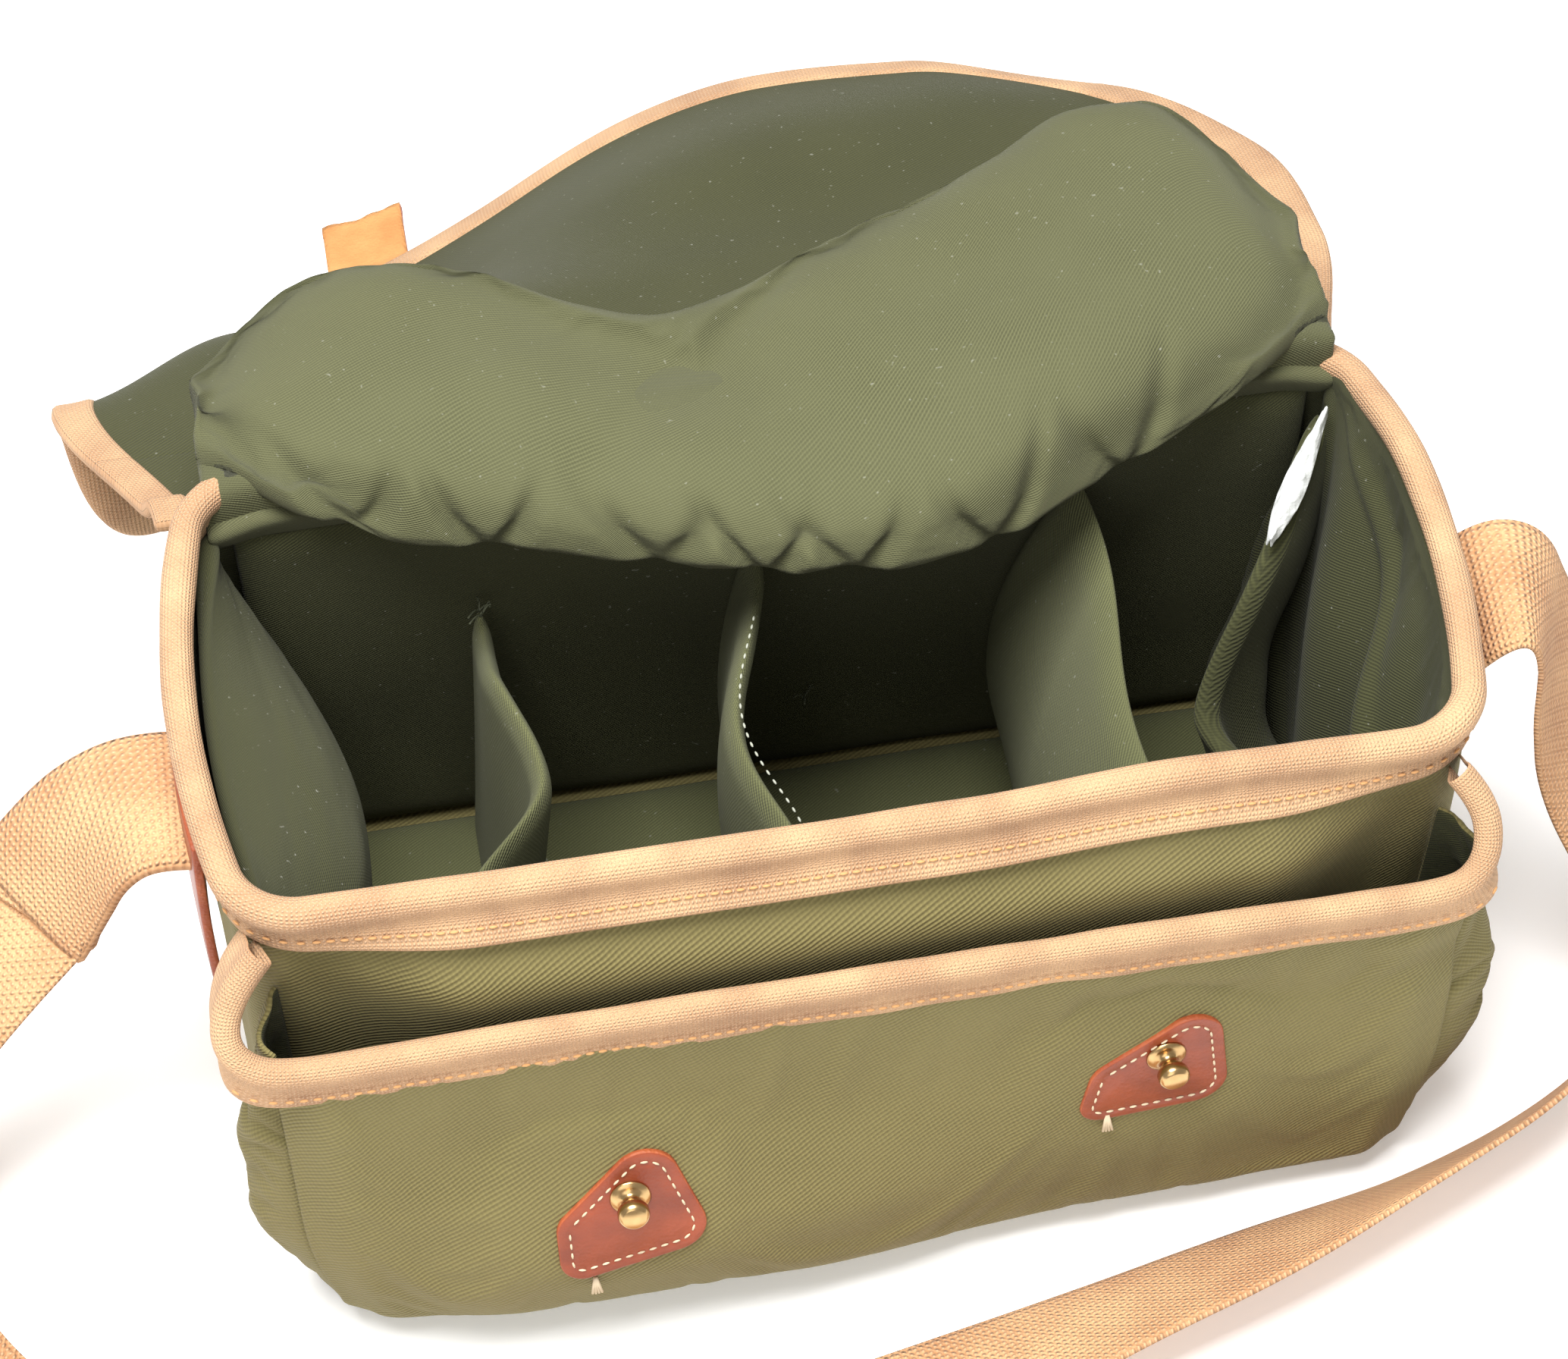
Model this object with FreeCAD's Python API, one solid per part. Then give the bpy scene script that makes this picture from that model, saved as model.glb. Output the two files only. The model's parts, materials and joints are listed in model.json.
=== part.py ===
import FreeCAD, Part
import math
import os

from FreeCAD import Vector

# Camera bag, open: soft canvas body with a bellows pocket, a padded insert with
# three dividers, a padded inner flap and an outer lid that are both thrown back
# over the rear edge, two closure straps, and a webbing shoulder strap.
# Millimetres. +X right, -Y front, +Z up. The origin is the middle of the base.

# body
WIDTH = 340.0
DEPTH = 150.0
RIM_Z = 190.0
PANEL_TOP = 178.0
CLOTH = 3.0
FLOOR_CLOTH = 5.0
END_BULGE = 14.0
BINDING = 9.0

# bellows pocket
POCKET_TOP_Y = -101.0
POCKET_FOOT_Y = -112.0
POCKET_FOOT_Z = 5.5
POCKET_TOP_Z = 147.0
# how far the pocket's face bellies out of its straight line, by place along it
POCKET_BELLY = {-171.0: 5.0, -81.0: 12.0, 79.0: 3.0, 171.0: 2.0}
POCKET_HALF = 171.0
GUSSET_OUT = 12.0

# leather pads and brass studs
PAD_THICK = 3.0
# place along the pocket, height and swing to either side of each pad
PAD_SPOTS = {"left": (-81.0, 70.0, 0.0), "right": (79.0, 84.0, 3.5)}
PAD_LIFT = 0.8
PAD_TILT = 38.0
FLANGE_R = 6.0
NECK_R = 2.5
HEAD_R = 4.7
STUD_REACH = 10.0

# padded insert
INSERT_TOP = 165.0
INSERT_PAD = 8.0
INSERT_GAP = 2.0
END_PAD_LEAN = 12.0
# each slack divider's middle line: its place at the foot, half way up and at the top
DIVIDERS = {"divider_1": (-101.0, -97.0, -91.0), "divider_2": (-12.0, -22.0, -17.0),
            "divider_3": (82.0, 69.0, 91.0)}
DIVIDER_THICK = 8.0
DIVIDER_TOP = 158.0

# inner flap
FLAP_AXIS = (34.0, 198.5)
FLAP_LENGTH = 100.0
FLAP_HALF = 160.0
FLAP_THICK = 10.0
FLAP_SLOPE = 8.0

# outer lid
LID_AXIS = (83.0, 178.0)
LID_DROP = 26.0
LID_SLOPE = 16.0
LID_HALF = 172.0
LID_TOP_LENGTH = 178.0
LID_FRONT_LENGTH = 57.0
LID_SKIN = 1.8
LID_BINDING = 12.0
FOLD_GAP = 0.8

# closure straps
STRAP_WIDE = 25.0
STRAP_THICK = 2.6
TORN_X = -107.0
WHOLE_X = 84.0
STUD_HOLE_R = 2.6
STRAP_DROP = 3.8

# leather patches and shoulder strap
PATCH_Y = -12.0
PATCH_HALF = 27.0
PATCH_Z = (82.0, 168.0)
PATCH_THICK = 3.0
WEB_WIDE = 44.0
WEB_THICK = 2.6
WEB_TUBE_R = 6.0

# The strap's route, chosen by hand, from the right-hand patch round the front.
STRAP_ROUTE = [(187, -16, 158), (206, -17, 181), (236, -18, 180), (259, -18, 148),
               (270, -22, 106), (274, -36, 66), (267, -62, 35), (246, -90, 22), (212, -113, 19),
               (170, -129, 18), (119, -143, 17), (66, -155, 15), (10, -169, 12), (-48, -183, 10),
               (-104, -190, 9), (-160, -187, 9), (-212, -170, 9), (-256, -139, 9),
               (-287, -98, 9), (-300, -50, 15), (-300, -9, 36), (-288, 14, 74),
               (-268, 15, 106), (-246, 4, 128)]
TAB_END = (-246, 4, 128)


def save(name, shape):
    """Write one sub-part as a STEP file."""
    if not shape.isValid() or shape.Volume <= 0:
        raise ValueError(name)
    shape.exportStep("parts/" + name + ".step")
    print(name, round(shape.Volume / 1000.0, 1), "cm3")


def box(x0, x1, y0, y1, z0, z1):
    return Part.makeBox(x1 - x0, y1 - y0, z1 - z0, Vector(x0, y0, z0))


def prism_x(points_yz, x0, x1):
    """Extrude a closed outline in the YZ plane from x0 to x1."""
    points = [Vector(x0, y, z) for y, z in points_yz]
    points.append(points[0])
    return Part.Face(Part.makePolygon(points)).extrude(Vector(x1 - x0, 0, 0))


def prism_z(points_xy, z0, z1):
    """Extrude a closed outline in the XY plane from z0 to z1."""
    points = [Vector(x, y, z0) for x, y in points_xy]
    points.append(points[0])
    return Part.Face(Part.makePolygon(points)).extrude(Vector(0, 0, z1 - z0))


def soften(shape, radius, pick):
    """Round the edges that pick chooses."""
    edges = [edge for edge in shape.Edges if pick(edge)]
    return shape.makeFillet(radius, edges)


def along(edge, axis):
    """True for a straight edge parallel to one of the axes."""
    if edge.Curve.TypeId != "Part::GeomLine":
        return False
    return abs(getattr(edge.Curve.Direction, axis)) > 0.999


def end_wall(side, y0, y1, z0, z1, inset, thick):
    """A curved wall on the bulging end. inset is measured in from the end's outer face."""
    half = DEPTH / 2
    radius = (half ** 2 + END_BULGE ** 2) / (2 * END_BULGE)
    centre_x = WIDTH / 2 - CLOTH + END_BULGE - radius
    outer = radius - inset
    inner = outer - thick

    def spot(r, y):
        return Vector(side * (centre_x + math.sqrt(r ** 2 - y ** 2)), y, z0)

    middle = (y0 + y1) / 2
    outline = [Part.Arc(spot(outer, y0), spot(outer, middle), spot(outer, y1)).toShape(),
               Part.LineSegment(spot(outer, y1), spot(inner, y1)).toShape(),
               Part.Arc(spot(inner, y1), spot(inner, middle), spot(inner, y0)).toShape(),
               Part.LineSegment(spot(inner, y0), spot(outer, y0)).toShape()]
    return Part.Face(Part.Wire(outline)).extrude(Vector(0, 0, z1 - z0))


def hang(shape, pivot, slope):
    """Turn a flat shape about the X axis so that it falls backwards from a pivot (y, z)."""
    turned = shape.copy()
    turned.rotate(Vector(0, pivot[0], pivot[1]), Vector(1, 0, 0), -slope)
    return turned


def make_body():
    half = WIDTH / 2 - CLOTH
    front = -DEPTH / 2
    outline = [(-half + 6, POCKET_FOOT_Y + 4), (half - 6, POCKET_FOOT_Y + 4), (half, front),
               (half, -front), (-half, -front), (-half, front)]
    save("base_panel", prism_z(outline, 0, FLOOR_CLOTH))
    save("front_panel", box(-half, half, front, front + CLOTH, FLOOR_CLOTH, PANEL_TOP))
    save("back_panel", box(-half, half, -front - CLOTH, -front, FLOOR_CLOTH, PANEL_TOP))
    reach = DEPTH / 2 - CLOTH
    for name, side in (("left", -1), ("right", 1)):
        save("end_panel_" + name, end_wall(side, -reach, reach, FLOOR_CLOTH, PANEL_TOP, 0, CLOTH))


def make_mouth_binding():
    """A folded tape closes the rim; each side of the mouth has its own length."""
    half = WIDTH / 2 - CLOTH
    outer = DEPTH / 2 + (BINDING - CLOTH) / 2
    for name, y0 in (("front", -outer), ("back", outer - BINDING)):
        tape = box(-half, half, y0, y0 + BINDING, PANEL_TOP, RIM_Z)
        tape = soften(tape, 3.5, lambda e: along(e, "x") and e.BoundBox.ZMin > RIM_Z - 1)
        save("binding_" + name, tape)
    reach = outer - BINDING
    for name, side in (("left", -1), ("right", 1)):
        inset = -(BINDING - CLOTH) / 2
        save("binding_" + name, end_wall(side, -reach, reach, PANEL_TOP, RIM_Z, inset, BINDING))


def pocket_line(belly, z):
    """Where the pocket's middle surface stands at a height, and its lean from upright."""
    tall = POCKET_TOP_Z - POCKET_FOOT_Z
    share = (z - POCKET_FOOT_Z) / tall
    y = POCKET_FOOT_Y + (POCKET_TOP_Y - POCKET_FOOT_Y) * share - 4 * belly * share * (1 - share)
    slope = (POCKET_TOP_Y - POCKET_FOOT_Y - 4 * belly * (1 - 2 * share)) / tall
    return y, math.degrees(math.atan(slope))


def pocket_section(x, belly):
    """The closed outline of the pocket's face, a wall bent in a gentle arc, at one place."""
    middle = (POCKET_FOOT_Z + POCKET_TOP_Z) / 2
    outer = []
    inner = []
    for z in (POCKET_FOOT_Z, middle, POCKET_TOP_Z):
        y, lean = pocket_line(belly, z)
        outer.append(Vector(x, y - CLOTH / 2, z))
        inner.append(Vector(x, y + CLOTH / 2, z))
    edges = [Part.Arc(*outer).toShape(), Part.LineSegment(outer[2], inner[2]).toShape(),
             Part.Arc(inner[2], inner[1], inner[0]).toShape(),
             Part.LineSegment(inner[0], outer[0]).toShape()]
    return Part.Wire(edges)


def make_pocket():
    sections = [pocket_section(x, belly) for x, belly in POCKET_BELLY.items()]
    save("pocket_front", Part.makeLoft(sections, True, False))
    y0 = POCKET_TOP_Y - BINDING / 2
    tape = box(-POCKET_HALF, POCKET_HALF, y0, y0 + BINDING, POCKET_TOP_Z, POCKET_TOP_Z + BINDING)
    tape = soften(tape, 3.5, lambda e: along(e, "x") and e.BoundBox.ZMin > POCKET_TOP_Z + 1)
    save("pocket_binding", tape)
    root = WIDTH / 2 - CLOTH
    for name, side in (("left", -1), ("right", 1)):
        fold = [(root + 1, -76.5), (root + GUSSET_OUT, -83.5), (root + GUSSET_OUT, -90.5),
                (root + 3, -96.2), (root + 1, -94.0), (root + GUSSET_OUT - 3, -89.3),
                (root + GUSSET_OUT - 3, -84.7), (root - 1, -78.8)]
        outline = [(side * x, y) for x, y in fold]
        save("pocket_gusset_" + name, prism_z(outline, FLOOR_CLOTH + 0.5, POCKET_TOP_Z - 3))
        edge = prism_x([(-95.5, POCKET_TOP_Z - 2), (-86.5, POCKET_TOP_Z - 2),
                        (-80.0, PANEL_TOP + 2), (-87.0, PANEL_TOP + 2)],
                       side * (root + 2), side * (root + GUSSET_OUT))
        save("gusset_binding_" + name, edge)


def pad_outline():
    """A rounded triangle in the XZ plane whose narrow corner points down and to one side."""
    corners = []
    for reach, angle, radius in ((20.0, 80.0, 10.0), (20.0, -40.0, 10.0), (24.0, 200.0, 6.5)):
        turn = math.radians(angle + PAD_TILT - 10.0)
        corners.append((reach * math.cos(turn), reach * math.sin(turn), radius))
    discs = [Part.makeCylinder(r, PAD_THICK, Vector(x, 0, z), Vector(0, -1, 0)) for x, z, r in corners]
    whole = discs[0]
    for i in range(3):
        ax, az, ar = corners[i]
        bx, bz, br = corners[(i + 1) % 3]
        heading = math.atan2(bz - az, bx - ax)
        lean = math.asin((ar - br) / math.hypot(bx - ax, bz - az))
        ends = []
        for sign in (1, -1):
            side = heading + sign * (math.pi / 2 - lean)
            ends.append([(ax + ar * math.cos(side), az + ar * math.sin(side)),
                         (bx + br * math.cos(side), bz + br * math.sin(side))])
        ring = [ends[0][0], ends[0][1], ends[1][1], ends[1][0]]
        points = [Vector(x, 0, z) for x, z in ring]
        points.append(points[0])
        whole = whole.fuse(Part.Face(Part.makePolygon(points)).extrude(Vector(0, -PAD_THICK, 0)))
    points = [Vector(x, 0, z) for x, z, r in corners]
    points.append(points[0])
    middle = Part.Face(Part.makePolygon(points)).extrude(Vector(0, -PAD_THICK, 0))
    return discs[1].fuse([discs[2], whole, middle]).removeSplitter()


def stud_shape():
    """Turned stud: round flange, thin neck and a ball head with a flat face."""
    flat = 1.2
    head_y = STUD_REACH - HEAD_R + flat
    profile = [Vector(0, 0, 0), Vector(FLANGE_R, 0, 0), Vector(FLANGE_R, -1.0, 0),
               Vector(NECK_R + 1.5, -1.8, 0), Vector(NECK_R, -2.4, 0)]
    edges = [Part.LineSegment(a, b).toShape() for a, b in zip(profile, profile[1:])]
    neck_end = head_y - math.sqrt(HEAD_R ** 2 - NECK_R ** 2)
    face_r = math.sqrt(HEAD_R ** 2 - (HEAD_R - flat) ** 2)
    a = Vector(NECK_R, -neck_end, 0)
    b = Vector(face_r, -STUD_REACH, 0)
    edges.append(Part.LineSegment(profile[-1], a).toShape())
    edges.append(Part.Arc(a, Vector(HEAD_R, -head_y, 0), b).toShape())
    edges.append(Part.LineSegment(b, Vector(0, -STUD_REACH, 0)).toShape())
    edges.append(Part.LineSegment(Vector(0, -STUD_REACH, 0), profile[0]).toShape())
    return Part.Face(Part.Wire(edges)).revolve(Vector(0, 0, 0), Vector(0, 1, 0), 360)


def make_pads_and_studs():
    for name, (x, z, swing) in PAD_SPOTS.items():
        y, tilt = pocket_line(POCKET_BELLY[x], z)
        spot = Vector(x, y - CLOTH / 2 - PAD_LIFT, z)
        washer = Part.makeCylinder(FLANGE_R, 1.0, Vector(0, CLOTH + 1.2, 0), Vector(0, 1, 0))
        stud = stud_shape()
        stud.translate(Vector(0, -PAD_THICK, 0))
        for node, shape in (("stud_pad_", pad_outline()), ("stud_", stud), ("stud_washer_", washer)):
            shape.rotate(Vector(0, 0, 0), Vector(1, 0, 0), -tilt)
            shape.rotate(Vector(0, 0, 0), Vector(0, 0, 1), swing)
            shape.translate(spot)
            save(node + name, shape)


def make_insert():
    half_x = WIDTH / 2 - 11.0
    back = DEPTH / 2 - CLOTH - INSERT_GAP
    floor_top = FLOOR_CLOTH + 7.0
    save("insert_floor", box(-half_x, half_x, -back, back, FLOOR_CLOTH + 0.5, floor_top))
    for name, y0 in (("front", -back), ("back", back - INSERT_PAD)):
        pad = box(-half_x, half_x, y0, y0 + INSERT_PAD, floor_top, INSERT_TOP)
        pad = soften(pad, 3.0, lambda e: along(e, "x") and e.BoundBox.ZMin > INSERT_TOP - 1)
        save("insert_" + name, pad)
    reach = back - INSERT_PAD - 0.5
    for name, side in (("left", -1), ("right", 1)):
        outline = [(side * half_x, floor_top), (side * (half_x - INSERT_PAD), floor_top),
                   (side * (half_x - INSERT_PAD - END_PAD_LEAN), INSERT_TOP),
                   (side * (half_x - END_PAD_LEAN), INSERT_TOP)]
        points = [Vector(x, -reach, z) for x, z in outline]
        points.append(points[0])
        pad = Part.Face(Part.makePolygon(points)).extrude(Vector(0, 2 * reach, 0))
        save("insert_end_" + name, pad)
    tuft = box(half_x - 14, half_x - 2, 10, 46, INSERT_TOP, INSERT_TOP + 6)
    save("torn_foam", soften(tuft, 2.5, lambda e: along(e, "y")))
    foot = floor_top + 0.5
    heights = (foot, (foot + DIVIDER_TOP) / 2, DIVIDER_TOP)
    for name, line in DIVIDERS.items():
        half = DIVIDER_THICK / 2
        left = [Vector(x - half, -reach, z) for x, z in zip(line, heights)]
        right = [Vector(x + half, -reach, z) for x, z in zip(line, heights)]
        outline = [Part.Arc(*left).toShape(), Part.LineSegment(left[2], right[2]).toShape(),
                   Part.Arc(right[2], right[1], right[0]).toShape(),
                   Part.LineSegment(right[0], left[0]).toShape()]
        save(name, Part.Face(Part.Wire(outline)).extrude(Vector(0, 2 * reach, 0)))


def make_inner_flap():
    """The padded flap lies back on the roll that joins it to the insert's rear wall."""
    y, z = FLAP_AXIS
    back = 72.0
    fall = (back - y) * math.tan(math.radians(FLAP_SLOPE))
    roll = prism_x([(y + 1, RIM_Z + 0.3), (back, RIM_Z + 0.3), (back, z - fall - 0.5), (y + 1, z - 0.7)],
                   -FLAP_HALF, FLAP_HALF)
    save("flap_roll", roll)
    link = box(-FLAP_HALF, FLAP_HALF, 62.0, 68.5, INSERT_TOP, RIM_Z + 0.3)
    save("flap_link", link)
    pad = box(-FLAP_HALF, FLAP_HALF, y, y + FLAP_LENGTH, z, z + FLAP_THICK)
    pad = soften(pad, 4.0, lambda e: along(e, "x"))
    save("inner_flap", hang(pad, FLAP_AXIS, FLAP_SLOPE))


def make_lid():
    """The lid starts on a strip down the rear face, then falls back over its fold line."""
    y, z = LID_AXIS
    rear = DEPTH / 2
    strip = box(-LID_HALF, LID_HALF, rear + 1.2, rear + 4.0, z - LID_DROP + 1, z - 2)
    save("lid_hem", strip)
    face = z - LID_DROP
    start = y + 12.0
    skins = (("", face - 2 * LID_SKIN, face - LID_SKIN), ("_lining", face - LID_SKIN, face))
    inner = LID_HALF - LID_BINDING
    fold = start + LID_TOP_LENGTH - 12.0
    end = fold + LID_FRONT_LENGTH
    for tail, z0, z1 in skins:
        top = box(-inner, inner, start, fold - FOLD_GAP, z0, z1)
        front = box(-inner, inner, fold, end - LID_BINDING, z0, z1)
        save("lid_top" + tail, hang(top, LID_AXIS, LID_SLOPE))
        save("lid_front" + tail, hang(front, LID_AXIS, LID_SLOPE))
    z0 = face - 2 * LID_SKIN - 1.2
    z1 = face + 1.2
    for name, side in (("left", -1), ("right", 1)):
        x0, x1 = sorted((side * inner, side * LID_HALF))
        top = box(x0, x1, start, fold - FOLD_GAP, z0, z1)
        front = box(x0, x1, fold, end - LID_BINDING, z0, z1)
        save("lid_binding_" + name, hang(top, LID_AXIS, LID_SLOPE))
        save("lid_front_binding_" + name, hang(front, LID_AXIS, LID_SLOPE))
    far = box(-LID_HALF, LID_HALF, end - LID_BINDING, end, z0, z1)
    save("lid_front_binding", hang(far, LID_AXIS, LID_SLOPE))
    hinge = Part.makeCylinder(2.2, 2 * LID_HALF, Vector(-LID_HALF, y, z), Vector(1, 0, 0))
    back = prism_x([(y + 0.5, z), (y + 3.8, z - 1.0), (y + 4.2, z - 13.0), (start - 0.3, face + 1.0),
                    (start - 0.3, face - 2 * LID_SKIN), (start - 2.5, face - LID_SKIN),
                    (y + 1.6, z - 15.0)], -LID_HALF, LID_HALF)
    save("lid_back_edge", hinge.fuse(hang(back, LID_AXIS, LID_SLOPE)).removeSplitter())
    make_closure_straps(end, z0)


def make_closure_straps(end, under):
    """Leather straps sewn below the lid's front edge, one torn short and one whole."""
    torn = box(TORN_X - STRAP_WIDE / 2, TORN_X + STRAP_WIDE / 2, end + 0.4, end + 24,
               under, under + STRAP_THICK)
    save("closure_strap_left", hang(torn, LID_AXIS, LID_SLOPE))
    root = box(TORN_X - STRAP_WIDE / 2, TORN_X + STRAP_WIDE / 2, end - 34, end,
               under - STRAP_THICK - 0.2, under - 0.2)
    save("closure_root_left", hang(root, LID_AXIS, LID_SLOPE))
    x0 = WHOLE_X - STRAP_WIDE / 2
    x1 = WHOLE_X + STRAP_WIDE / 2
    level = under - STRAP_DROP
    whole = box(x0, x1, end - 82, end - 2, level - STRAP_THICK / 2, level + STRAP_THICK / 2)
    whole = soften(whole, 8.0, lambda e: along(e, "z") and e.BoundBox.YMax < end - 70)
    hole = Part.makeCylinder(STUD_HOLE_R, 20, Vector(WHOLE_X, end - 71, level - 10))
    save("closure_strap_right", hang(whole.cut(hole), LID_AXIS, LID_SLOPE))
    root = prism_x([(end - 12, under - 0.1), (end - 12, under - 1.6), (end - 2, under - 1.6),
                    (end - 0.3, level), (end + 2.3, level), (end + 2.3, under - 0.1)], x0, x1)
    save("closure_root_right", hang(root, LID_AXIS, LID_SLOPE))


def make_strap_patches():
    for name, side in (("left", -1), ("right", 1)):
        patch = end_wall(side, PATCH_Y - PATCH_HALF, PATCH_Y + PATCH_HALF, PATCH_Z[0], PATCH_Z[1],
                         -PATCH_THICK, PATCH_THICK)
        save("strap_patch_" + name, patch)


def rounded_path(points):
    """Straight runs joined by tangent arcs; returns the wire and the arcs' radii."""
    spots = [Vector(*p) for p in points]
    edges = []
    radii = []
    start = spots[0]
    for before, corner, after in zip(spots, spots[1:], spots[2:]):
        into = (corner - before).normalize()
        away = (after - corner).normalize()
        turn = into.getAngle(away)
        run = min((corner - before).Length, (after - corner).Length)
        radius = 0.45 * run / math.tan(turn / 2)
        radii.append(round(radius, 1))
        a = corner - into * 0.45 * run
        b = corner + away * 0.45 * run
        pull = (away - into).normalize()
        middle = corner + pull * (radius / math.cos(turn / 2) - radius)
        edges.append(Part.LineSegment(start, a).toShape())
        edges.append(Part.Arc(a, middle, b).toShape())
        start = b
    edges.append(Part.LineSegment(start, spots[-1]).toShape())
    return Part.Wire(edges), radii


def tube(points):
    path, radii = rounded_path(points)
    first = Vector(*points[0])
    heading = Vector(*points[1]) - first
    ring = Part.Wire([Part.Circle(first, heading, WEB_TUBE_R).toShape()])
    shape = path.makePipeShell([ring], True, False)
    expected = math.pi * WEB_TUBE_R ** 2 * path.Length
    print("strap length", round(path.Length, 1), "radii", radii, "volume ratio",
          round(shape.Volume / expected, 3))
    return shape


def make_shoulder_strap():
    """The strap's plain solid has about the webbing's own cross-section area."""
    save("shoulder_strap", tube(STRAP_ROUTE))
    root = Vector(-WIDTH / 2 - END_BULGE + CLOTH - PATCH_THICK - 1, PATCH_Y, 152)
    end = Vector(*TAB_END)
    heading = end - root
    band = Part.makeBox(heading.Length, WEB_WIDE, 2 * WEB_THICK, Vector(0, -WEB_WIDE / 2, -WEB_THICK))
    band.Placement = FreeCAD.Placement(root, FreeCAD.Rotation(Vector(1, 0, 0), heading))
    save("strap_tab_left", band)


os.makedirs("parts", exist_ok=True)
make_body()
make_mouth_binding()
make_pocket()
make_pads_and_studs()
make_insert()
make_inner_flap()
make_lid()
make_strap_patches()
make_shoulder_strap()
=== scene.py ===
# %% [markdown]
# # An open camera bag
# This lesson dresses a imported model of a canvas camera bag. The frame holds every
# body, joint and size, so each piece is made at the place that the frame gives, and
# most pieces then ride on a body. All sizes are in metres: +X is right, -Y is the front, +Z is up.

# %% Load the frame
import json
import math

import bmesh
import bpy
from mathutils import Matrix, Vector, noise
from mathutils.bvhtree import BVHTree


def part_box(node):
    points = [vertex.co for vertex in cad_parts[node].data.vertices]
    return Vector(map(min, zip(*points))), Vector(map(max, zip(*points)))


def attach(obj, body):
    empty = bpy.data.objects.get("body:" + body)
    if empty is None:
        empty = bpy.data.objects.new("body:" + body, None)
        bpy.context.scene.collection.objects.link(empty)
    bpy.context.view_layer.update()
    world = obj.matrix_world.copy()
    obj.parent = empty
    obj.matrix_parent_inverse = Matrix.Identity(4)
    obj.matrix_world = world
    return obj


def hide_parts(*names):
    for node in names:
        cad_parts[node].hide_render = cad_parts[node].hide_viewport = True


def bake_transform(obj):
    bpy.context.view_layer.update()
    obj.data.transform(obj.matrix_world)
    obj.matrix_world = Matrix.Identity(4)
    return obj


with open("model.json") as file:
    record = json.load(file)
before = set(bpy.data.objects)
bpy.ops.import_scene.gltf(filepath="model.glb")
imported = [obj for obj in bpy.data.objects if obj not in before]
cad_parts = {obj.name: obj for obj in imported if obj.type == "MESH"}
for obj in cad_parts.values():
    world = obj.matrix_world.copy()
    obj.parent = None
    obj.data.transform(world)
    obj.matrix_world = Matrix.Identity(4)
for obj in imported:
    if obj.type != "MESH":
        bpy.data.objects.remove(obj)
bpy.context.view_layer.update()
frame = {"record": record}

scene = bpy.context.scene

# %% [markdown]
# ## Camera
# A soft bag is read by its outline, so the view comes first: high up, a little to
# the left, with a long lens. A camera looks along its own -Z axis, and
# to_track_quat turns it so that this axis points at the target.

# %% Camera
CAMERA_AT = Vector((-0.119, -0.611, 1.071))
CAMERA_TO = Vector((-0.006, 0.022, 0.118))
FOCAL = 87.0

lens = bpy.data.cameras.new("camera")
lens.lens = FOCAL
lens.sensor_width = 36.0
lens.clip_end = 20.0
camera = bpy.data.objects.new("camera", lens)
camera.location = CAMERA_AT
camera.rotation_euler = (CAMERA_TO - CAMERA_AT).to_track_quat("-Z", "Y").to_euler()
scene.collection.objects.link(camera)
scene.camera = camera
print("camera looks from", tuple(round(c, 3) for c in CAMERA_AT))

# %% [markdown]
# ## The studio
# A wide pale floor and a bright even world give the soft shadows of a light tent.
# One large lamp above, a little to the left, models the folds, and a weaker one
# in front lifts the front panel out of its own shade.

# %% Floor, world and lamps
floor_mesh = bmesh.new()
bmesh.ops.create_grid(floor_mesh, x_segments=1, y_segments=1, size=6.0)
floor_data = bpy.data.meshes.new("floor")
floor_mesh.to_mesh(floor_data)
floor_mesh.free()
floor = bpy.data.objects.new("floor", floor_data)
scene.collection.objects.link(floor)
floor_look = bpy.data.materials.new("floor_paper")
floor_look.use_nodes = True
paper = floor_look.node_tree.nodes["Principled BSDF"].inputs
paper["Base Color"].default_value = (0.97, 0.97, 0.97, 1)
paper["Roughness"].default_value = 0.9
paper["Emission Color"].default_value = (1, 1, 1, 1)
paper["Emission Strength"].default_value = 0.14
floor_data.materials.append(floor_look)

world = bpy.data.worlds.new("tent")
world.use_nodes = True
tent = world.node_tree.nodes["Background"].inputs
tent["Color"].default_value = (1.0, 0.99, 0.97, 1)
tent["Strength"].default_value = 0.5
scene.world = world
scene.view_settings.view_transform = "Standard"


def soft_lamp(name, place, target, size, power):
    """A square lamp that faces its target."""
    data = bpy.data.lights.new(name, "AREA")
    data.size = size
    data.energy = power
    lamp = bpy.data.objects.new(name, data)
    lamp.location = place
    lamp.rotation_euler = (Vector(target) - Vector(place)).to_track_quat("-Z", "Y").to_euler()
    scene.collection.objects.link(lamp)


soft_lamp("key", (-0.22, -0.06, 1.6), (0, 0, 0.1), 0.8, 49.0)
soft_lamp("fill", (-0.4, -1.25, 1.1), (0, 0, 0.1), 1.0, 7.0)
print("lamps", [lamp.name for lamp in bpy.data.lights])

# %% [markdown]
# ## Helpers for cloth
# Every cloth piece starts as a flat grid. `cut` keeps where each point lay on the
# flat cloth in an attribute, so that a weave follows the cloth however it is bent.
# A place function then lifts each flat point to where it hangs.

# %% Make a piece from a bmesh
CUT = "cloth"


def piece(name, bm, looks, body=None, cad=()):
    """Turn a bmesh into a named object that rides on a body and stands for CAD nodes."""
    mesh = bpy.data.meshes.new(name)
    bm.to_mesh(mesh)
    bm.free()
    for look in looks:
        mesh.materials.append(look)
    mesh.polygons.foreach_set("use_smooth", [True] * len(mesh.polygons))
    made = bpy.data.objects.new(name, mesh)
    scene.collection.objects.link(made)
    if body:
        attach(made, body)
    if cad:
        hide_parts(*cad)
    print("made", name, "with", len(mesh.polygons), "faces")
    return made


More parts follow.
